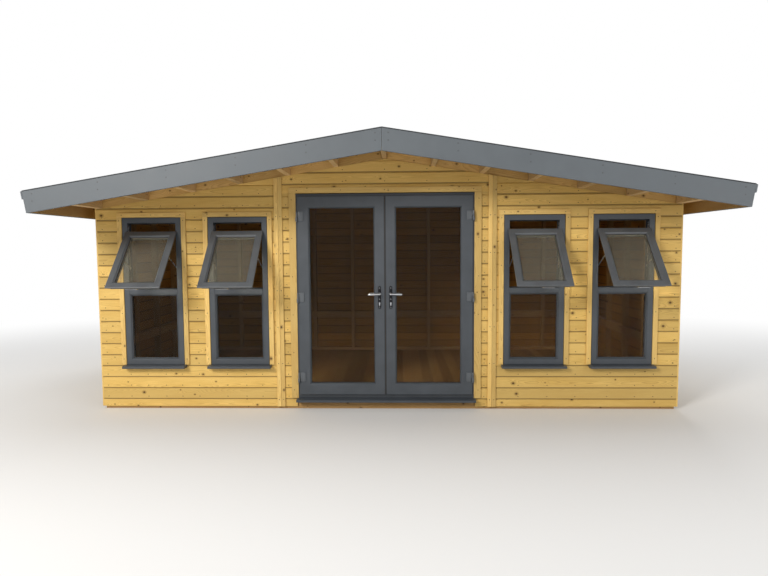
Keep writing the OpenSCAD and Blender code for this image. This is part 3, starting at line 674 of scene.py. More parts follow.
def nail_columns(columns):
    """Columns of nails for a wall drawn as shiplap_wall draws it, each x and its lowest and highest place."""
    heads = []
    for x, low, high in columns:
        first = math.ceil((low - ROW_START - NAIL_UP) / ROW)
        count = math.floor((high - ROW_START - NAIL_UP) / ROW) - first + 1
        if count > 0:
            head = copy_to(nail, (x, -CLAD_T, ROW_START + NAIL_UP + first * ROW))
            heads.append(row_of(head, count, (0, 0, ROW)))
    return joined(heads)


def to_roof(xs, low=NAIL_LOW):
    return [(x, low, under(x) - 0.014) for x in xs]


PANEL_NAILS = {"right": ((1.338, 1.629, 2.228, 2.502, 2.685), (1.909, 2.873)),
               "left": ((1.263, 1.428, 1.625, 2.094, 2.261, 2.449, 2.627), (1.916, 2.868))}
nailed = []
for hand, (short, tall) in PANEL_NAILS.items():
    columns = [(x, NAIL_LOW, WINDOW_LOW - 0.045) for x in short]
    columns += to_roof(short, WINDOW_TOP + 0.062) + to_roof(tall) + [(0.994, NAIL_LOW, DOOR_TOP - 0.03)]
    made = settle(nail_columns(columns), (0, FRAME_FRONT, 0))
    nailed.append(flip(made) if hand == "left" else made)
made = nail_columns(to_roof((-0.83, -0.42, 0, 0.42, 0.83), DOOR_TOP + 0.085))
nailed.append(settle(made, (0, FRAME_FRONT, 0)))
back_step = (2 * FRAME_X - 0.045) / 10
made = nail_columns(to_roof([i * back_step for i in range(-5, 6)]))
nailed.append(settle(made, (0, FRAME_BACK, 0), (0, 0, math.pi)))
side_step = (FRAME_BACK - FRAME_FRONT - 0.185) / 5
made = nail_columns([(FRAME_FRONT + 0.0925 + i * side_step, NAIL_LOW, 2.13) for i in range(6)])
nailed += both_sides([settle(made, (FRAME_X, 0, 0), (0, 0, math.pi / 2))])
place_all("cladding_nails", nailed, None, NAILS)


# Loose timber

def band(x0, x1, y0, y1, low, high):
    """A timber that follows the roof from x0 to x1, between two heights over the purlins' foot."""
    return roof_cut(blank((x0, y0, under(x1) + low - 0.01), (x1, y1, under(x0) + high + 0.01)), low, high)


def square_cut(piece, x, side=1):
    """Saws a piece square to the slope from x on the roof boards' top. Side -1 keeps the outer part."""
    return saw(piece, (x, 0, under(x) + BOARD_TOP), (side * math.cos(SLOPE), 0, -side * math.sin(SLOPE)))


# Base
BEARERS, BEARER_W, FLOOR_COUNT, PARTING = 8, 0.045, 49, 0.0004
bearer = blank((-FRAME_X, FRAME_FRONT, 0), (FRAME_X, FRAME_FRONT + BEARER_W, FLOOR_LOW))
row_of(bearer, BEARERS, (0, (FRAME_BACK - FRAME_FRONT - BEARER_W) / (BEARERS - 1), 0))
fit("floor_bearers_sawn", [bearer], "floor_bearers", FRAMING, 0.002)
pitch = 2 * FRAME_X / FLOOR_COUNT
board = blank((-FRAME_X + PARTING, FRAME_FRONT, FLOOR_LOW),
              (-FRAME_X + pitch - PARTING, FRAME_BACK, FLOOR_TOP))
bevel(board, lambda a, b: min(a.z, b.z) > FLOOR_TOP - 1e-4 and same(a, b, "x"), 0.0022, 2)
fit("floor_boards_laid", [row_of(board, FLOOR_COUNT, (pitch, 0, 0))], "floor_boards", FLOORING, 0)

# Framing of the front
STUD_D, STUD_W = 0.070, 0.045
PLATE_TOP = FLOOR_TOP + STUD_W
STUD_Y0, STUD_Y1 = FRAME_FRONT, FRAME_FRONT + STUD_D
BACK_Y0 = FRAME_BACK - STUD_D
JAMB = WINDOW_HALF + 0.005
LINTEL_TOP = HEAD_LOW + 0.075


def stud(x0, z0, z1=None, y0=STUD_Y0, sides=(1,)):
    """An upright that runs up to z1, or to the top plate under the roof."""
    if z1 is not None:
        return blank((x0, y0, z0), (x0 + STUD_W, y0 + STUD_D, z1))
    return roof_cut(blank((x0, y0, z0), (x0 + STUD_W, y0 + STUD_D, TALL)), high=-STUD_W, sides=sides)


def middle_stud(z0, y0=STUD_Y0):
    return stud(-STUD_W / 2, z0, y0=y0, sides=(1, -1))


studs = [blank((JOINT_X, STUD_Y0, FLOOR_TOP), (FRAME_X, STUD_Y1, PLATE_TOP)),
         band(JOINT_X, FRAME_X, STUD_Y0, STUD_Y1, -STUD_W, 0),
         stud(JOINT_X, PLATE_TOP), stud(FRAME_X - STUD_W, PLATE_TOP)]
for x in WINDOW_XS:
    studs += [stud(x - JAMB - STUD_W, PLATE_TOP), stud(x + JAMB, PLATE_TOP)]
    studs += [blank((x - JAMB, STUD_Y0, z), (x + JAMB, STUD_Y1, z + STUD_W))
              for z in (WINDOW_LOW - 0.030 - STUD_W, WINDOW_TOP + 0.005)]
fit_hands("front_studs_nailed_%s", joined(studs), "front_studs_%s", FRAMING)
posts = [blank((OPENING_HALF, STUD_Y0, FLOOR_TOP), (JOINT_X, STUD_Y1, PLATE_TOP)),
         stud(OPENING_HALF, PLATE_TOP, HEAD_LOW), stud(JOINT_X - STUD_W, PLATE_TOP, HEAD_LOW)]
fit("door_posts_nailed", both_sides(posts), "door_posts", FRAMING)
head = [blank((-JOINT_X, STUD_Y0, HEAD_LOW), (JOINT_X, STUD_Y1, LINTEL_TOP)), middle_stud(LINTEL_TOP)]
head += both_sides([stud(JOINT_X - STUD_W, LINTEL_TOP),
                    band(SEAT / 2, JOINT_X, STUD_Y0, STUD_Y1, -STUD_W, 0)])
fit("door_head_nailed", head, "door_head_frame", FRAMING)

# Framing of the back and the sides
RAIL_LOW, RAIL_HIGH = FLOOR_TOP + 0.500, FLOOR_TOP + 0.595
BAYS, SIDE_BAYS = 10, 5
step = (2 * FRAME_X - STUD_W) / BAYS
uprights = [stud(i * step - STUD_W / 2, PLATE_TOP, y0=BACK_Y0) for i in range(1, BAYS // 2 + 1)]
rail = blank((-FRAME_X + STUD_W + SEAT, BACK_Y0, RAIL_LOW), (-FRAME_X + step - SEAT, FRAME_BACK, RAIL_HIGH))
back_frame = both_sides(uprights + [band(SEAT / 2, FRAME_X, BACK_Y0, FRAME_BACK, -STUD_W, 0)])
back_frame += [middle_stud(PLATE_TOP, BACK_Y0),
               blank((-FRAME_X, BACK_Y0, FLOOR_TOP), (FRAME_X, FRAME_BACK, PLATE_TOP)),
               row_of(rail, BAYS, (step, 0, 0))]
fit("back_studs_nailed", back_frame, "back_studs", FRAMING)
side_x = FRAME_X - STUD_D
step = (BACK_Y0 - STUD_Y1 - STUD_W) / SIDE_BAYS
plate_low = under(FRAME_X) - STUD_W
upright = blank((side_x, STUD_Y1, PLATE_TOP), (FRAME_X, STUD_Y1 + STUD_W, plate_low))
rail = blank((side_x, STUD_Y1 + STUD_W + SEAT, RAIL_LOW), (FRAME_X, STUD_Y1 + step - SEAT, RAIL_HIGH))
side_frame = [row_of(upright, SIDE_BAYS + 1, (0, step, 0)), row_of(rail, SIDE_BAYS, (0, step, 0)),
              roof_cut(blank((side_x, STUD_Y1, plate_low), (FRAME_X, BACK_Y0, 2.09)), high=0),
              blank((side_x, STUD_Y1, FLOOR_TOP), (FRAME_X, BACK_Y0, PLATE_TOP))]
fit_hands("%s_studs_nailed", joined(side_frame), "%s_studs", FRAMING)

# Roof timbers
PURLIN_COUNT, PURLIN_W, ROOF_COUNT = 6, 0.045, 32
ROOF_IN, EDGE_IN = ROOF_Y - 0.020, ROOF_HALF - 0.020
purlin_step = (FRAME_X - 0.0225) / PURLIN_COUNT


def purlin(x0, x1, low=SEAT):
    return band(x0, x1, -ROOF_IN, ROOF_IN, low, PURLIN_TOP)


ridge = roof_cut(purlin(-PURLIN_W / 2, PURLIN_W / 2), SEAT, PURLIN_TOP, (-1,))
purlins = [purlin(i * purlin_step - PURLIN_W / 2, i * purlin_step + PURLIN_W / 2)
           for i in range(1, PURLIN_COUNT + 1)]
edge_purlin = square_cut(purlin(EDGE_IN - PURLIN_W - 0.02, EDGE_IN, PURLIN_D / 2), EDGE_IN - SEAT)
purlins.append(square_cut(edge_purlin, EDGE_IN - PURLIN_W, -1))
fit("purlins_sawn", both_sides(purlins) + [ridge], "purlins", PURLINS, 0.002)
BLOCK_IN = 0.006
blocks = [band(i * purlin_step + PURLIN_W / 2 + SEAT, (i + 1) * purlin_step - PURLIN_W / 2 - SEAT,
               y, y + CLAD_T + STUD_D - BLOCK_IN, SEAT, PURLIN_TOP)
          for y in (WALL_FRONT + BLOCK_IN, BACK_Y0) for i in range(PURLIN_COUNT)]
fit("purlin_blocks_sawn", both_sides(blocks), "purlin_blocks", BLOCKS)
pitch = 2 * ROOF_IN / ROOF_COUNT
thick = (BOARD_TOP - PURLIN_D) * math.cos(SLOPE)
RIDGE_IN = 0.0035
board_end = (EDGE_IN - SEAT - RIDGE_IN) / math.cos(SLOPE) - thick * PITCH
board = blank((0, -ROOF_IN + PARTING, 0), (board_end, -ROOF_IN + pitch - PARTING, thick))
bevel(board, lambda a, b: max(a.z, b.z) < 1e-4 and same(a, b, "y"), 0.0025, 2)
row_of(board, ROOF_COUNT, (0, pitch, 0))
settle(board, (RIDGE_IN, 0, under(0) + PURLIN_D - RIDGE_IN * PITCH), (0, SLOPE, 0))
fit("roof_boards_laid", both_sides([board]), "roof_boards", ROOF_BOARDS, 0)

# Cover strips and trims
STRIP_Y0 = WALL_FRONT - STRIP_T
JOINT_STRIP_W, CORNER_W, WINDOW_STRIP_W, DOOR_STRIP_W = 0.040, 0.045, 0.047, 0.056


def joint_strips(y):
    """The two strips that cover a joint of the wall panels, from a place in Y."""
    return [roof_cut(blank((x, y, CLAD_LOW), (x + JOINT_STRIP_W, y + STRIP_T, 2.4)), high=0)
            for x in (JOINT_X - 0.00075 - JOINT_STRIP_W, JOINT_X + 0.00075)]


def front_strip(x0, x1, z0, z1):
    return blank((x0, STRIP_Y0, z0), (x1, WALL_FRONT, z1))


corners = [roof_cut(blank((CLAD_X, y, CLAD_LOW), (CLAD_X + STRIP_T, y + CORNER_W, 2.2)), high=PURLIN_TOP)
           for y in (WALL_FRONT, WALL_BACK - CORNER_W)]
fit("cover_strips_planed", both_sides(joint_strips(STRIP_Y0) + corners + joint_strips(WALL_BACK)),
    "cover_strips", STRIPS, 0.002, 2)
trims = []
inner, outer = WINDOW_HALF + FIT_GAP, WINDOW_HALF + FIT_GAP + WINDOW_STRIP_W
top = WINDOW_TOP + FIT_GAP
for x in WINDOW_XS:
    trims += [front_strip(x - outer, x - inner, WINDOW_LOW + SEAT, top - SEAT),
              front_strip(x + inner, x + outer, WINDOW_LOW + SEAT, top - SEAT),
              front_strip(x - outer, x + outer, top, top + WINDOW_STRIP_W)]
fit("window_strips_planed", both_sides(trims), "window_trims", STRIPS, 0.002, 2)
outer, LIP_X = OPENING_HALF + DOOR_STRIP_W, 0.8905
jamb_trim = front_strip(LIP_X, outer, DOOR_LOW + SEAT, HEAD_LOW - SEAT)
rout(jamb_trim, (LIP_X - 0.01, FACE_Y - 0.0004, 0), (OPENING_HALF + 0.0005, FACE_Y + 0.1, 3))
trims = both_sides([jamb_trim]) + [front_strip(-outer, outer, HEAD_LOW, HEAD_LOW + DOOR_STRIP_W)]
fit("door_strips_planed", trims, "door_trims", STRIPS, 0.002, 2)

# Nails of the cover strips and trims
spots = []
for side in (-1, 1):
    for x in (JOINT_X - 0.021, JOINT_X + 0.021):
        spots += [(side * x, 0.10 + i * 0.372) for i in range(7) if 0.10 + i * 0.372 < under(x) - 0.03]
    for x in WINDOW_XS:
        spots += [(side * (x + dx), z) for dx in (-0.3265, 0.3265) for z in (0.52, 0.99, 1.46, 1.93)]
        spots += [(side * (x + dx), WINDOW_TOP + 0.0265) for dx in (-0.30, 0, 0.30)]
    spots += [(side * (OPENING_HALF + 0.028), 0.20 + i * 0.385) for i in range(6)]
spots += [(x, HEAD_LOW + 0.028) for x in (-0.88, -0.44, 0, 0.44, 0.88)]
place_all("strip_nails", copies([nail], [(x, STRIP_Y0, z) for x, z in spots]), None, NAILS)


# Windows: each part is made at x = 0 and copied to the four openings

def glazing(box, y0, y1):
    """Two panes and the spacer bar between them."""
    left, right, low, high = box
    sheet, sight = 0.004, 0.012
    bar = stepped_frame([box, (0.001, y1 - sheet), (0.001, y0 + sheet), (sight, y0 + sheet),
                         (sight, y1 - sheet)])
    return [blank((left, y, low), (right, y + sheet, high)) for y in (y0, y1 - sheet)], bar


TRANSOM_LOW, TRANSOM_TOP = 1.184, 1.236
LIGHT = (-0.2449, 0.2449, 0.5151, 1.1839)
window_frame = stepped_frame([
    (-WINDOW_HALF, WINDOW_HALF, WINDOW_LOW, WINDOW_TOP), (0, PLASTIC_IN), (0, CHAMFER_Y), (0.003, FACE_Y),
    (0.052, FACE_Y), (0.055, CHAMFER_Y), (0.055, -1.102), (0.063, -1.102), (0.063, PLASTIC_IN)])
transom = blank((-0.245, FACE_Y, TRANSOM_LOW), (0.245, PLASTIC_IN, TRANSOM_TOP))
bevel(transom, lambda a, b: max(a.y, b.y) < FACE_Y + 0.001 and same(a, b, "z"), 0.003, 1)
stop = blank((-0.237, -1.102, TRANSOM_TOP), (0.237, PLASTIC_IN, TRANSOM_TOP + 0.008))
place_all("window_frames_welded", at_windows([window_frame, transom, stop]), "window_frames", FOIL,
          edge=0.0008)
beads = [stepped_frame([LIGHT, (0, -1.1405), (0, -1.1590), (0.0024, -1.1590), (0.0114, -1.1480),
                        (0.0139, -1.1475), (0.0139, -1.1405)]),
         stepped_frame([LIGHT, (0, -1.0960), (0, -1.1155), (0.0139, -1.1155), (0.0139, -1.1080),
                        (0.0079, -1.0960)])]
place_all("window_beads", at_windows(beads), None, FOIL)
seals = [stepped_frame([(-0.2308, 0.2308, 0.5292, 1.1698), (0, -1.1402), (0, -1.1450), (0.0018, -1.1440),
                        (0.0033, -1.1402)]),
         stepped_frame([(-0.2440, 0.2440, 1.2370, 1.9040), (0, -1.1022), (0, -1.1050), (0.0040, -1.1060),
                        (0.0055, -1.1022)])]
place_all("window_seals", at_windows(seals), None, SEALS)
panes, bar = glazing((-0.243, 0.243, 0.517, 1.182), -1.140, -1.116)
place_all("lower_panes", at_windows(panes), "window_panes", GLASS)
place_all("lower_spacers", at_windows([bar]), None, SPACERS)

# Open top sashes
SASH_H, SASH_HALF, SASH_TOP_Z, SASH_OFF = 0.701, 0.261, 1.813, 0.002
SASH_TURN = math.radians(-40)
SASH_BOX = (-SASH_HALF, SASH_HALF, -SASH_H, 0)


def open_sashes(pieces):
    """Turns pieces made in a sash's own frame to the open sash, and copies them to the windows."""
    place = (0, FACE_Y - SASH_OFF, SASH_TOP_Z)
    return at_windows([settle(piece, place, (SASH_TURN, 0, 0)) for piece in pieces])


sash = stepped_frame([
    SASH_BOX, (0.028, 0.046), (0.028, 0), (0, 0), (0, -0.0105), (0.0012, -0.0131), (0.0035, -0.014),
    (0.0545, -0.014), (0.0565, -0.0135), (0.0675, -0.0025), (0.070, -0.002), (0.070, 0.0055),
    (0.0575, 0.0055), (0.0575, 0.0305), (0.070, 0.0305), (0.070, 0.046)])
seals = [stepped_frame([SASH_BOX, (0.0701, 0.0058), (0.0701, 0.0010), (0.0720, 0.0018), (0.0735, 0.0058)]),
         stepped_frame([SASH_BOX, (0.0050, 0.0002), (0.0060, 0.0035), (0.0090, 0.0035), (0.0100, 0.0002)])]
panes, bar = glazing((-0.203, 0.203, -0.643, -0.058), 0.006, 0.030)
place_all("sashes_welded", open_sashes([sash]), "window_sashes", LIT_SASH_FOIL, edge=0.0006)
place_all("sash_seals", open_sashes(seals), None, SEALS)
place_all("upper_panes", open_sashes(panes), "sash_panes", DUST_AND_PAINTED_LIGHT_GLASS)
place_all("upper_spacers", open_sashes([bar]), None, SPACERS)


# Cills
def cill(width, top, horn):
    """A sloped cill with a drip lip, a leg at the wall and a capped horn past the frame at each end."""
    nose, thick, fall, lip, proud = 0.080, 0.030, 0.008, 0.010, 0.0008
    y0 = WALL_FRONT - nose
    half = width / 2 + horn
    slope = Vector((0, -fall, nose - 0.010)).normalized()
    piece = saw(blank((-half, y0, top - thick), (half, PLASTIC_IN, top)), (0, FACE_Y, top), slope)
    rout(piece, (-2, y0 + lip, top - thick - 0.05), (2, WALL_FRONT - lip, top - fall - lip))
    parts = [piece]
    for side in (-1, 1):
        a, b = sorted((side * width / 2, side * (half + 0.05)))
        rout(piece, (a, WALL_FRONT, top - 0.1), (b, PLASTIC_IN + 0.1, top + 0.1))
        a, b = sorted((side * (half - 0.0035), side * (half + proud)))
        cap = blank((a, y0 - proud, top - thick - proud), (b, WALL_FRONT, top + proud))
        parts.append(saw(cap, (0, FACE_Y, top + proud), slope))
    return [joined(parts)]


cills = at_windows(cill(2 * WINDOW_HALF, WINDOW_LOW, 0.020))
place_all("window_cills_capped", cills, "window_cills", FOIL, edge=0.0015, segments=2)
place_all("door_cill_capped", cill(1.800, DOOR_LOW, 0.006), "door_cill", FOIL, edge=0.0015, segments=2)

# Door frame and leaves
door_frame = stepped_frame(
    [(-0.900, 0.900, DOOR_LOW, DOOR_TOP), (0, PLASTIC_IN), (0, CHAMFER_Y), (0.003, FACE_Y)],
    [(-0.858, 0.858, 0.169, 2.1426), (0, FACE_Y), (0.003, CHAMFER_Y), (0.003, -1.108), (0.015, -1.108),
     (0.015, PLASTIC_IN)])
place_all("door_frame_welded", [door_frame], "door_frame", SHADED_DOOR_FOIL, edge=0.0008)
seal = stepped_frame([(-0.8545, 0.8545, 0.1725, 2.1391), (0, -1.1082), (0, -1.1110), (0.0045, -1.1120),
                      (0.0075, -1.1082)])
place_all("door_frame_seal", [seal], None, SEALS)


def on_both_leaves(*rows):
    """Fits what is drawn for the right leaf on both: title, pieces, node, finish, body and edge of each."""
    for hand in ("right", "left"):
        for title, made, node, finish, body, edge in rows:
            fitted = [copy_to(piece) if hand == "right" else flip(copy_to(piece)) for piece in made]
            place_all(hand + title, fitted, node and hand + node, finish, hand + body, edge)
    for row in rows:
        scrap(*row[1])


LEAF_FACE, LEAF_BACK = -1.179, -1.113
leaf = stepped_frame(
    [(0.007, 0.850, 0.177, 2.1346), (0, LEAF_BACK)], [(0.0045, 0.850, 0.177, 2.1346), (0, -1.165)],
    [(0.003, 0.873, 0.154, 2.1576), (0, -1.165), (0, -1.1755), (0.0015, -1.1781), (0.004, LEAF_FACE)],
    [(0.0955, 0.7695, 0.2575, 2.0541), (0, LEAF_FACE), (0.002, -1.1785), (0.0125, -1.1675),
     (0.0145, -1.167), (0.0145, -1.1595), (0.002, -1.1595), (0.002, -1.1345), (0.0145, -1.1345),
     (0.0145, LEAF_BACK)])
seals = [
    stepped_frame([(0.1101, 0.7549, 0.2721, 2.0395), (0, -1.1592), (0, -1.1645), (0.0019, -1.1635),
                   (0.0039, -1.1592)]),
    stepped_frame([(0.0070, 0.8680, 0.1590, 2.1526), (0, -1.1648)],
                  [(0.0070, 0.8670, 0.1600, 2.1516), (0, -1.1618), (0.003, -1.1618)],
                  [(0.0100, 0.8630, 0.1640, 2.1476), (0, -1.1648)])]
panes, bar = glazing((0.098, 0.767, 0.260, 2.0516), -1.159, -1.135)
on_both_leaves(("_leaf_welded", [leaf], "_door", FOIL, "_leaf", 0.0006),
               ("_leaf_seals", seals, None, SEALS, "_leaf", 0),
               ("_door_panes", panes, "_door_glass", GLASS, "_leaf", 0),
               ("_door_spacer", [bar], None, SPACERS, "_leaf", 0))

# Fascias
FASCIA_T, GREY_T, BACKING_UP = 0.020, 0.012, 0.005
FASCIA_LOW = BOARD_TOP - 0.190 / math.cos(SLOPE)
for end, y in (("front", -ROOF_Y), ("back", ROOF_Y - FASCIA_T)):
    board = square_cut(band(0.00075, ROOF_HALF, y, y + FASCIA_T, FASCIA_LOW, BOARD_TOP), ROOF_HALF)
    fit(end + "_fascia_boards", both_sides([board]), end + "_fascias", PAINT, 0.003, 2)


def eaves_boards(x0, x1, low):
    """Boards under the edges of the roof, both faces square to the slope."""
    piece = band(x0 - 0.06, x1, -ROOF_Y + FASCIA_T, ROOF_Y - FASCIA_T, low, BOARD_TOP)
    return both_sides([square_cut(square_cut(piece, x1), x0, -1)])


grey_in, backing_in = ROOF_HALF - GREY_T, ROOF_HALF - FASCIA_T
fit("eaves_fascia_boards", eaves_boards(grey_in, ROOF_HALF, FASCIA_LOW), "eaves_fascias", PAINT, 0.003, 2)
fit("eaves_fascia_backings", eaves_boards(backing_in, grey_in, FASCIA_LOW + BACKING_UP), None, ROOF_BOARDS,
    0.001)


# Covering, its seams and its edge trims
def folded(half, low, high):
    """A sheet folded over the ridge, to half on each side, between two heights over the purlins' foot."""
    sheet = joined(both_sides([band(0, half, -ROOF_Y, ROOF_Y, low, high)]))
    modify(sheet, "WELD", merge_threshold=0.0002)
    work(sheet, "FACE", lambda c, n: abs(c.x) < 1e-4 and abs(n.x) > 0.99, bpy.ops.mesh.delete, type="FACE")
    return [sheet]


SHEET_TOP, TRIM_W = BOARD_TOP + 0.004, 0.055
place_all("membrane", folded(ROOF_HALF, BOARD_TOP + SEAT, SHEET_TOP), "roof_sheet", COVERING)
laps = [band(x, x + 0.045, -ROOF_Y, ROOF_Y, SHEET_TOP - 0.002, SHEET_TOP + 0.0022) for x in (0.985, 2.035)]
laps = both_sides(laps) + folded(0.150, SHEET_TOP - 0.002, SHEET_TOP + 0.0030)
place_all("membrane_laps", laps, None, COVERING, edge=0.0012, segments=2)
edging = [band(0.0006, ROOF_HALF, y, y + TRIM_W, SHEET_TOP + 0.0024, SHEET_TOP + 0.0054)
          for y in (-ROOF_Y, ROOF_Y - TRIM_W)]
place_all("roof_edge_trims", both_sides(edging), None, DRIPS, edge=0.0012, segments=2)

# Screws of the fascias, in pairs one above the other
screw = turned([(0.0056, -0.002), (0.0060, 0.0006), (0.0050, 0.0014), (0.0024, 0.0014),
                (0.0018, -0.0004)], 10)
back_screw = settle(copy_to(screw), turn=(0, 0, math.pi))
end_screw = settle(copy_to(screw), turn=(0, SLOPE, math.pi / 2))
places = [(side * x, -ROOF_Y, under(x) + BOARD_TOP - drop) for side in (-1, 1)
          for x in (0.056, 0.648, 1.26, 1.865, 2.47, 3.055) for drop in (0.034, 0.098)]
back_places = [(x, -y, z) for x, y, z in places]
end_places = [(ROOF_HALF - drop * math.sin(SLOPE), y * 0.62,
               under(ROOF_HALF) + BOARD_TOP - drop * math.cos(SLOPE))
              for y in range(-3, 4) for drop in (0.085, 0.135)]
place_all("front_fascia_screws", copies([screw], places), None, SCREWS)
place_all("back_fascia_screws", copies([back_screw], back_places), None, SCREWS)
end_screws = place_all("right_fascia_screws", copies([end_screw], end_places), None, SCREWS)
place_all("left_fascia_screws", [flip(copy_to(end_screws))], None, SCREWS)

# Door furniture
SPINDLE_X, SPINDLE_Z = 0.0565, 1.180
LEAF_MID = (LEAF_FACE + LEAF_BACK) / 2
PIN_X, PIN_Y = 0.877, -1.193
HINGE_H, HINGE_LOW = 0.100, 0.062
HINGE_LEVELS = (0.344, 1.1558, 1.9676)
CYLINDER_Z = SPINDLE_Z - 0.092


def stadium(x, y, low, high, half, thick, crown):
    """A plate with round ends and crowned edges that stands off a face toward the front."""
    piece = blank((x - half, y - thick, low), (x + half, y, high))
    bevel(piece, lambda a, b: same(a, b, "xz"), half - 0.0005, 8)
    return smooth(bevel(piece, lambda a, b: max(a.y, b.y) < y - thick + 1e-5, crown, 4))


def on_plate(profile, sides, z=SPINDLE_Z):
    """A turned piece that stands out from the handle plate."""
    return turned(profile, sides, (SPINDLE_X, LEAF_FACE, z))


def on_pin(profile, sides):
    """A turned piece on the pin of a hinge whose foot is at z = 0."""
    return turned(profile, sides, (PIN_X, PIN_Y, 0), (0, 0, 1))


def both_faces(*pieces):
    """Pieces of the outer face of the leaf and the same on its inner face."""
    made = [smooth(piece) for piece in pieces]
    return made + [flip(copy_to(piece), (1, -1, 1), (0, 2 * LEAF_MID, 0)) for piece in made]


def hinged(*pieces):
    """Pieces of a hinge, copied to the levels of the three hinges."""
    return copies([smooth(piece) for piece in pieces], [(0, 0, level - HINGE_LOW) for level in HINGE_LEVELS])


plate = stadium(SPINDLE_X, LEAF_FACE, SPINDLE_Z - 0.1480, SPINDLE_Z + 0.0792, 0.015, 0.0075, 0.0036)
machine(plate, on_plate([(0.0094, -0.02), (0.0094, 0.02)], 32))
collar = on_plate([(0.0132, 0.0065), (0.0132, 0.0082), (0.0124, 0.0090), (0.0102, 0.0090), (0.0094, 0.0084),
                   (0.0094, 0.0065)], 32)
key = on_plate([(0.0084, 0), (0.0084, 0.0122), (0.0079, 0.0128), (0.0064, 0.0128), (0.0061, 0.0122)], 24,
               CYLINDER_Z)
rout(key, (SPINDLE_X - 0.0007, LEAF_FACE - 0.02, CYLINDER_Z - 0.0045),
     (SPINDLE_X + 0.0007, LEAF_FACE - 0.0085, CYLINDER_Z + 0.0045))
key_body = stadium(SPINDLE_X, LEAF_FACE, CYLINDER_Z - 0.0260, CYLINDER_Z - 0.0020, 0.0048, 0.0122, 0.0012)
plate_screw = on_plate([(0.0042, 0.006), (0.0042, 0.0080), (0.0034, 0.0086), (0.0016, 0.0086),
                        (0.0014, 0.0076)], 12)
plate_screws = copies([plate_screw], [(0, 0, rise) for rise in (0.0600, -0.0520, -0.1330)])
neck = on_plate([(0.0088, 0.0004), (0.0088, 0.030), (0.0086, 0.036), (0.0080, 0.041), (0.0078, 0.050)], 24)
# The cast grip leaves its neck, thins, dips a little and ends in a rounded tip
GRIP = [(-0.0088, 0, 0, 0.0028, 0.0028), (-0.0078, 0, 0, 0.0058, 0.0058), (-0.0050, 0, 0, 0.0082, 0.0082),
        (0, 0, 0, 0.0090, 0.0090), (0.006, 0, 0, 0.0088, 0.0090), (0.014, -0.0004, 0, 0.0074, 0.0086),
        (0.024, -0.0012, -0.0004, 0.0060, 0.0080), (0.040, -0.0022, -0.0012, 0.0052, 0.0076),
        (0.062, -0.0026, -0.0024, 0.0050, 0.0078), (0.084, -0.0020, -0.0034, 0.0052, 0.0080),
        (0.098, -0.0008, -0.0040, 0.0054, 0.0080), (0.107, 0.0006, -0.0042, 0.0050, 0.0072),
        (0.112, 0.0016, -0.0042, 0.0038, 0.0054), (0.1148, 0.0022, -0.0042, 0.0018, 0.0026)]
grip = swept([(SPINDLE_X + x, LEAF_FACE - 0.048 + y, SPINDLE_Z + z, a, b) for x, y, z, a, b in GRIP])

cover = blank((PIN_X - 0.064, LEAF_FACE - 0.0085, 0.0080), (PIN_X - 0.013, LEAF_FACE, HINGE_H))
bevel(cover, lambda p, q: same(p, q, "xz") and p.x < PIN_X - 0.05, 0.007, 4)
ease(cover, 0.0024, 3)
web = blank((PIN_X - 0.020, LEAF_FACE - 0.008, 0.0450), (PIN_X - 0.003, LEAF_FACE - 0.0042, HINGE_H))
ease(web, 0.0008, 1)
knuckle = on_pin([(0.0086, 0.0442), (0.0090, 0.0448), (0.0090, HINGE_H - 0.0025), (0.0080, HINGE_H - 0.0004),
                  (0.0050, HINGE_H)], 24)
cap = turned([(0.0052, 0.006), (0.0052, 0.0092), (0.0044, 0.0100), (0.0020, 0.0100), (0.0018, 0.0088)], 14,
             (PIN_X, LEAF_FACE, 0))
caps = copies([cap], [(-dx, 0, rise) for rise in (0.024, 0.084) for dx in (0.050, 0.028)])
lower = on_pin([(0.0050, 0), (0.0080, 0.0006), (0.0090, 0.0025), (0.0090, 0.0426), (0.0086, 0.0432)], 24)
pin = on_pin([(0.0040, 0.030), (0.0040, 0.0900)], 16)
block = blank((PIN_X + 0.0005, PIN_Y - 0.0045, 0.0006), (LIP_X - 0.0008, FACE_Y, 0.0428))
ease(block, 0.0018, 2)
place_all("frame_hinge_parts", both_sides(hinged(lower, pin, block)), "frame_hinges", HINGES)
# Partly painted shade: black seal strips, the front one widened over the bevels of the meeting stiles so that
# it stands in for the shadow of the gap.
meeting_seal_and_gap_shade = joined([blank((0.0006, -1.1530, 0.1785), (0.0058, -1.1470, 2.1330)),
                       blank((0.0006, -1.1796, 0.1600), (0.0100, -1.1700, 2.1520))])
ease(meeting_seal_and_gap_shade, 0.0012, 2)
on_both_leaves(("_handle_plates", both_faces(plate), "_door_fittings", PLATES, "_leaf", 0),
               ("_key_cylinders", both_faces(collar, key, key_body, *plate_screws), None, CHROME, "_leaf", 0),
               ("_leaf_hinges", hinged(cover, web, knuckle, *caps), None, HINGES, "_leaf", 0),
               ("_lever_handles", both_faces(neck, grip), "_door_lever", CHROME, "_lever", 0))
on_both_leaves(("_meeting_seal_and_gap_shade", [meeting_seal_and_gap_shade], None, SEALS, "_leaf", 0))

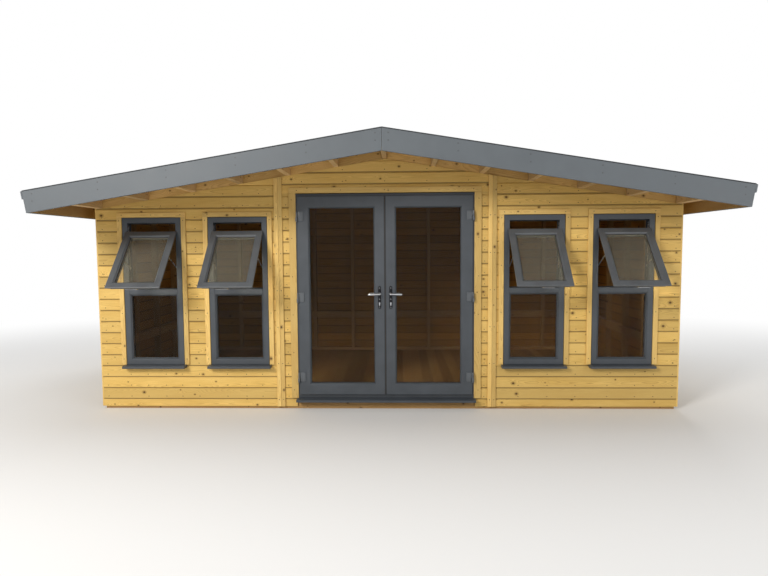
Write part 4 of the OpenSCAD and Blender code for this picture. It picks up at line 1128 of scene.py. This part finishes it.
# Sash handles, made in the sash's own frame
level = -SASH_H + 0.049
HOLD = [(-0.0068, 0.0805, 0.0016, 0.0020), (-0.0058, 0.0805, 0.0034, 0.0052),
        (-0.002, 0.0805, 0.0042, 0.0068), (0.008, 0.0803, 0.0042, 0.0068),
        (0.030, 0.0795, 0.0036, 0.0058), (0.070, 0.0795, 0.0034, 0.0062), (0.098, 0.0800, 0.0034, 0.0066),
        (0.107, 0.0805, 0.0028, 0.0052), (0.1098, 0.0808, 0.0012, 0.0024)]
rose = stadium(0, 0, -0.026, 0.026, 0.0130, 0.008, 0.0022)
settle(rose, (0, 0.046, level), (0, math.pi / 2, math.pi))
stem = turned([(0.0070, 0), (0.0070, 0.026), (0.0064, 0.031), (0.0060, 0.034)], 20, (0, 0.046, level),
              (0, 1, 0))
hold = swept([(along, y, level, a, b) for along, y, a, b in HOLD])
handle = [smooth(piece) for piece in (rose, stem, hold)]
place_all("sash_handles_cast", open_sashes(handle), "sash_handles", CHROME)

# Friction stays: a track with its slider, two arms and a bar on the sash, riveted at four pivots
JAMB_X, LAYER, BAR_W, FLANGE = 0.245, 0.003, 0.014, 0.020
TRACK_Y, VENT_HIGH = FACE_Y + 0.030, 1.905


def on_sash(down):
    """Place on the sash's side, in Y and Z: down from its top and behind its flange."""
    sine, cosine = math.sin(-SASH_TURN), math.cos(SASH_TURN)
    return FACE_Y - SASH_OFF - down * sine + FLANGE * cosine, SASH_TOP_Z - down * cosine - FLANGE * sine


def stay_bar(layer, a, b, trough=0.0):
    """A flat bar with round ends between two places in Y and Z, in one of the layers off the jamb."""
    run = (b[0] - a[0], b[1] - a[1])
    x1 = JAMB_X - layer * LAYER
    half = BAR_W / 2
    bar = blank((x1 - LAYER + 0.0002, -half, -half), (x1 - 0.0002, half, math.hypot(*run) + half))
    bevel(bar, lambda p, q: same(p, q, "yz"), half - 0.0004, 6)
    if trough:
        work(bar, "FACE", lambda c, n: n.x < -0.9, bpy.ops.mesh.inset, thickness=0.0032, depth=-trough)
    ease(bar, 0.0004, 1, 60)
    return smooth(settle(bar, (0, *a), (math.atan2(-run[0], run[1]), 0, 0)))


def rivet(first, last, at):
    """A domed rivet from the jamb's side of one layer through another."""
    through = (last + 1 - first) * LAYER
    profile = [(0.0047, 0.0004), (0.0047, through), (0.0042, through + 0.0008), (0.0022, through + 0.0012)]
    return smooth(turned(profile, 14, (JAMB_X - first * LAYER, *at), (-1, 0, 0)))


upper, lower = on_sash(0.060), on_sash(0.300)
slider, foot = (TRACK_Y, upper[1] + 0.040), (TRACK_Y, lower[1] - 0.120)
stay = joined([
    stay_bar(0, (TRACK_Y, foot[1] - 0.015), (TRACK_Y, VENT_HIGH - 0.030), 0.0012),
    stay_bar(1, (TRACK_Y, slider[1] - 0.015), (TRACK_Y, slider[1] + 0.015)), stay_bar(2, slider, upper),
    stay_bar(2, foot, lower), stay_bar(3, on_sash(0.045), on_sash(0.315)),
    rivet(0, 2, slider), rivet(0, 2, foot), rivet(2, 3, upper), rivet(2, 3, lower)])
place_all("window_stays_riveted", at_windows(both_sides([stay])), "window_stays", STEEL)

# CAD node that keeps its shape
for slot in range(len(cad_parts["eaves_drips"].data.materials)):
    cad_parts["eaves_drips"].data.materials[slot] = DRIPS[0]


# Stage: camera, lamps and floor

FOCAL, IMAGE_W, SENSOR_W = 568.38, 768, 36
EYE = (0.1596, -6.855, 1.6421)
YAW, TILT, ROLL = math.radians(-1.727), math.radians(4.052), math.radians(-0.380)
forward = Vector((math.sin(YAW) * math.cos(TILT), math.cos(YAW) * math.cos(TILT), -math.sin(TILT)))
flat_right = Vector((math.cos(YAW), -math.sin(YAW), 0))
flat_up = flat_right.cross(forward)
right = math.cos(ROLL) * flat_right + math.sin(ROLL) * flat_up
up = -math.sin(ROLL) * flat_right + math.cos(ROLL) * flat_up
eye = bpy.data.objects.new("camera", bpy.data.cameras.new("camera"))
bpy.context.scene.collection.objects.link(eye)
eye.matrix_world = Matrix.Translation(EYE) @ Matrix((right, up, -forward)).transposed().to_4x4()
eye.data.sensor_width = SENSOR_W
eye.data.lens = FOCAL * SENSOR_W / IMAGE_W
eye.data.clip_end = 200
bpy.context.scene.camera = eye
bpy.context.scene.view_settings.view_transform = "Standard"


def lamp(name, place, aim, size, power, tint=(1, 1, 1)):
    light = bpy.data.objects.new(name, bpy.data.lights.new(name, "AREA"))
    light.data.shape = "RECTANGLE"
    light.data.size, light.data.size_y = size
    light.data.energy = power
    light.data.color = tint
    light.location = place
    light.rotation_euler = (Vector(aim) - Vector(place)).to_track_quat("-Z", "Y").to_euler()
    bpy.context.scene.collection.objects.link(light)


lamp("key_lamp", (-5.5, -9.0, 5.6), (0.3, -0.8, 1.0), (2.6, 2.6), 760, (1.0, 0.965, 0.92))
lamp("fill_lamp", (6.5, -7.0, 3.0), (0, -0.5, 1.0), (5.0, 4.0), 130)
lamp("back_lamp", (3.0, 9.0, 5.0), (0, 1.5, 1.2), (5.0, 4.0), 420)
lamp("top_lamp", (0, 0, 9.0), (0, 0, 2.0), (8.0, 6.0), 260)

world = bpy.data.worlds.new("studio")
bpy.context.scene.world = world
world.use_nodes = True
sky = Nodes(world.node_tree)
backdrop = sky.nodes["Background"]
backdrop.inputs["Color"].default_value = (1, 1, 1, 1)
sky.put(backdrop.inputs["Strength"], sky.spread(sky.seen(), 0, 1, 0.42, 1.0))

floor = start(bpy.ops.mesh.primitive_plane_add, size=60)
floor.name = "studio_floor"
paint = Finish("pale_floor")
paint.set(Base_Color=(0.78, 0.78, 0.775), Roughness=0.9)
far = paint.node("VectorMath", {0: paint.stretched(1.0, 1.25, 0.0)}, operation="LENGTH").outputs["Value"]
melt = paint.times(paint.seen(), paint.spread(far, 4.2, 11.0, 0, 1, True))
glow = paint.node("Emission", {"Color": (1, 1, 1), "Strength": 1.0})
floor.data.materials.append(paint.pass_to(melt, glow))
